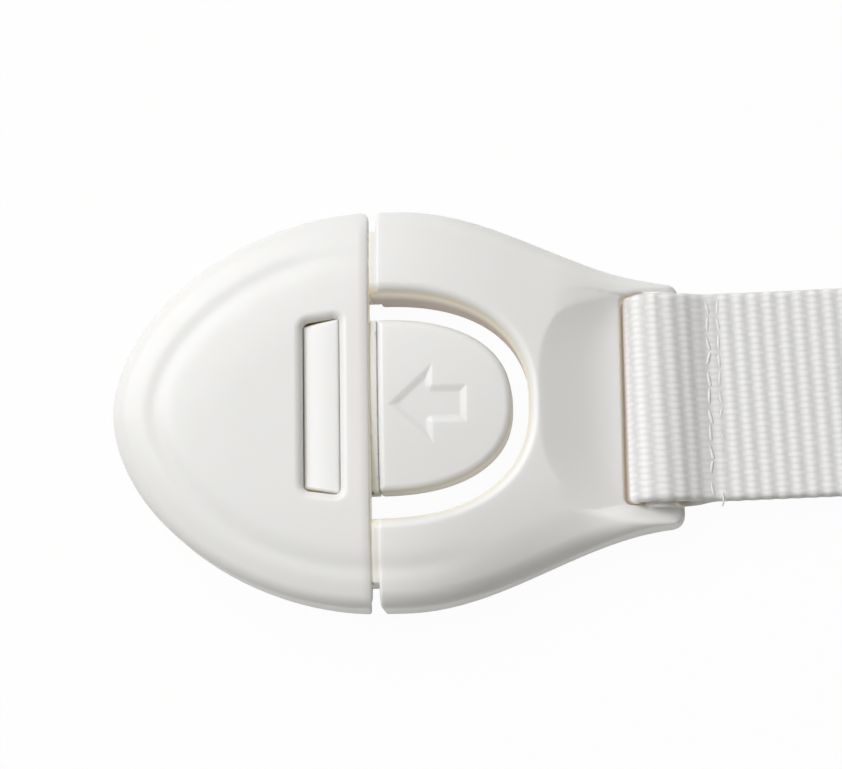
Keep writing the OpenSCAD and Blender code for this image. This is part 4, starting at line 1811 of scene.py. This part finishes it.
    def loose_end(self) -> Piece:
        """The short end of thread that is left at the strap's edge by the near sewing.

        Returns:
            A mesh object.
        """
        start = np.array(
            [self.near_bar + self.sew_in + 1.1, self.drift - self.width / 2, self.bar_z + self.thickness]
        )
        bends = np.array([(-0.1, 0.9, 0.0), (0.0, 0.4, 0.15), (0.1, 0.0, 0.05), (-0.15, -0.35, -0.2)])
        curve = curve_from("loose_thread", (start + bends) * MM, smooth=True)
        curve.data.bevel_depth = self.thread_r * 0.7 * MM
        curve.data.bevel_resolution = 3
        curve.data.use_fill_caps = True
        made = plain_mesh(curve, "loose_thread_end")
        made.data.materials.clear()
        made.data.materials.append(STRAP_THREAD.material())
        return made

    def build(self) -> list[Piece]:
        """Builds the strap's pieces.

        Returns:
            The pieces.
        """
        halves = self.weave()
        zigzag = self.stitch("near_zigzag", self.near_bar, 1)
        near = joined([zigzag, self.loose_end()], "near_zigzag_stitching")
        far = self.stitch("far_zigzag_stitching", self.far_bar, -1)
        settle_piece(near, Body.STRAP_NEAR, Slot.THREAD, "near_stitching")
        settle_piece(far, Body.STRAP_FAR, Slot.THREAD, "far_stitching")
        return [*halves, near, far]


def even_points(line: Array, step: float) -> Array:
    """A line's points spaced evenly.

    Args:
        line: Points in order.
        step: The spacing wanted.

    Returns:
        New points along the same line.
    """
    run = np.concatenate([[0.0], np.cumsum(np.linalg.norm(np.diff(line, axis=0), axis=1))])
    want = np.linspace(0.0, run[-1], max(2, round(run[-1] / step)) + 1)
    return np.stack([np.interp(want, run, line[:, k]) for k in range(line.shape[1])], 1)


def curve_from(name: str, line: Array, smooth: bool = False) -> Piece:
    """A curve object through points.

    Args:
        name: The object's name.
        line: Points in metres.
        smooth: True for a smooth curve, False for straight pieces.

    Returns:
        The curve object, linked to the scene.
    """
    data = bpy.data.curves.new(name, "CURVE")
    data.dimensions = "3D"
    spline = data.splines.new("NURBS" if smooth else "POLY")
    spline.points.add(len(line) - 1)
    spline.points.foreach_set("co", np.column_stack([line, np.ones(len(line))]).astype(np.float32).ravel())
    if smooth:
        spline.order_u = 4
        spline.use_endpoint_u = True
    return linked(name, data)


def joined(parts: Sequence[Piece], name: str) -> Piece:
    """Joins mesh objects into one.

    Args:
        parts: The objects, which are used up.
        name: The new object's name.

    Returns:
        The joined object.
    """
    with bpy.context.temp_override(active_object=parts[0], selected_editable_objects=list(parts)):
        bpy.ops.object.join()
    parts[0].name = name
    parts[0].data.name = name
    return parts[0]


@dataclass
class Studio:
    """A plain pale floor, soft light from the upper left and the photograph's camera."""

    tilt: float = 10.52
    aside: float = 4.08
    roll: float = 1.56
    distance: float = 300.0
    pixels_per_mm: float = 10.324
    aim: Corner = (17.0, 0.0, 6.0)
    off: tuple[float, float] = (-0.29, -2.22)
    ambient: float = 0.23
    ambient_tone: Colour = (1.0, 0.97, 0.9)
    lamp_place: Corner = (-0.65, 0.56, 1.15)
    lamp_aim: Corner = (0.03, 0.0, 0.0)
    lamp_size: float = 1.04
    lamp_power: float = 20.9
    floor_half: float = 1.6
    floor_z: float = -0.0001
    floor_tone: Colour = (0.74, 0.73, 0.70)
    floor_white: float = 0.965

    def axes(self) -> Matrix:
        """The camera's axes as rows.

        Returns:
            The turn from the part's frame to the camera's.
        """
        tilt = Matrix.Rotation(math.radians(-self.tilt), 3, "X")
        aside = Matrix.Rotation(math.radians(-self.aside), 3, "Y")
        roll = Matrix.Rotation(math.radians(self.roll), 3, "Z")
        return roll @ aside @ tilt

    def camera(self) -> None:
        """Sets the camera at the photograph's angle."""
        axes = self.axes()
        data = bpy.data.cameras.new("photo_camera")
        data.sensor_fit = "HORIZONTAL"
        data.sensor_width = 36.0
        data.lens = 36.0 * self.pixels_per_mm * self.distance / PICTURE[0]
        data.clip_start = 0.01
        data.clip_end = 20.0
        made = linked("photo_camera", data)
        away = axes.transposed() @ Vector((-self.off[0], -self.off[1], self.distance))
        made.matrix_world = Matrix.Translation((Vector(self.aim) + away) * MM) @ axes.transposed().to_4x4()
        bpy.context.scene.camera = made

    def lamp(self) -> None:
        """Hangs the square soft lamp at the upper left."""
        data = bpy.data.lights.new("upper_left_softbox", "AREA")
        data.size = self.lamp_size
        data.energy = self.lamp_power
        made = linked("upper_left_softbox", data)
        made.location = self.lamp_place
        way = Vector(self.lamp_aim) - Vector(self.lamp_place)
        made.rotation_euler = way.to_track_quat("-Z", "Y").to_euler()

    def floor(self) -> None:
        """Lays the pale floor, which shows nearly white and keeps a soft shadow."""
        mesh = bpy.data.meshes.new("studio_floor")
        h, z = self.floor_half, self.floor_z
        mesh.from_pydata([(-h, -h, z), (h, -h, z), (h, h, z), (-h, h, z)], [], [(0, 1, 2, 3)])
        made = linked("studio_floor", mesh)
        paper = bpy.data.materials.new("floor_paper")
        graph = Graph.fresh(paper)
        matte = graph.add("ShaderNodeBsdfDiffuse", {}, {"Color": rgba(self.floor_tone)})
        bright = graph.add("ShaderNodeEmission", {}, {"Color": rgba(WHITE), "Strength": 1.0})
        share = graph.seen() * self.floor_white
        surface = graph.add("ShaderNodeMixShader", {}, {0: share, 1: matte, 2: bright})
        graph.add("ShaderNodeOutputMaterial", {}, {"Surface": surface})
        mesh.materials.append(paper)

    def world(self) -> None:
        """Sets an even ambient light, and white where the camera sees it."""
        world = bpy.data.worlds.new("studio_world")
        graph = Graph.fresh(world)
        seen = graph.seen()
        tone = graph.mix(seen, rgba(self.ambient_tone), rgba(WHITE))
        strength = self.ambient + (1.0 - self.ambient) * seen
        light = graph.add("ShaderNodeBackground", {}, {"Color": tone, "Strength": strength})
        graph.add("ShaderNodeOutputWorld", {}, {"Surface": light})
        bpy.context.scene.world = world

    def build(self) -> None:
        """Sets up the floor, the light and the camera."""
        self.floor()
        self.world()
        self.lamp()
        self.camera()
        bpy.context.scene.view_settings.view_transform = "Standard"


def main() -> None:
    """Builds the lock and the studio round it."""
    logging.basicConfig(level=logging.INFO, format="%(name)s %(message)s")
    Studio().build()
    for assembly in (Latch(), Buckle(), Anchor(), Strap()):
        pieces = assembly.build()
        LOG.info("%s is built from %d pieces", type(assembly).__name__, len(pieces))


if __name__ == "__main__":
    main()
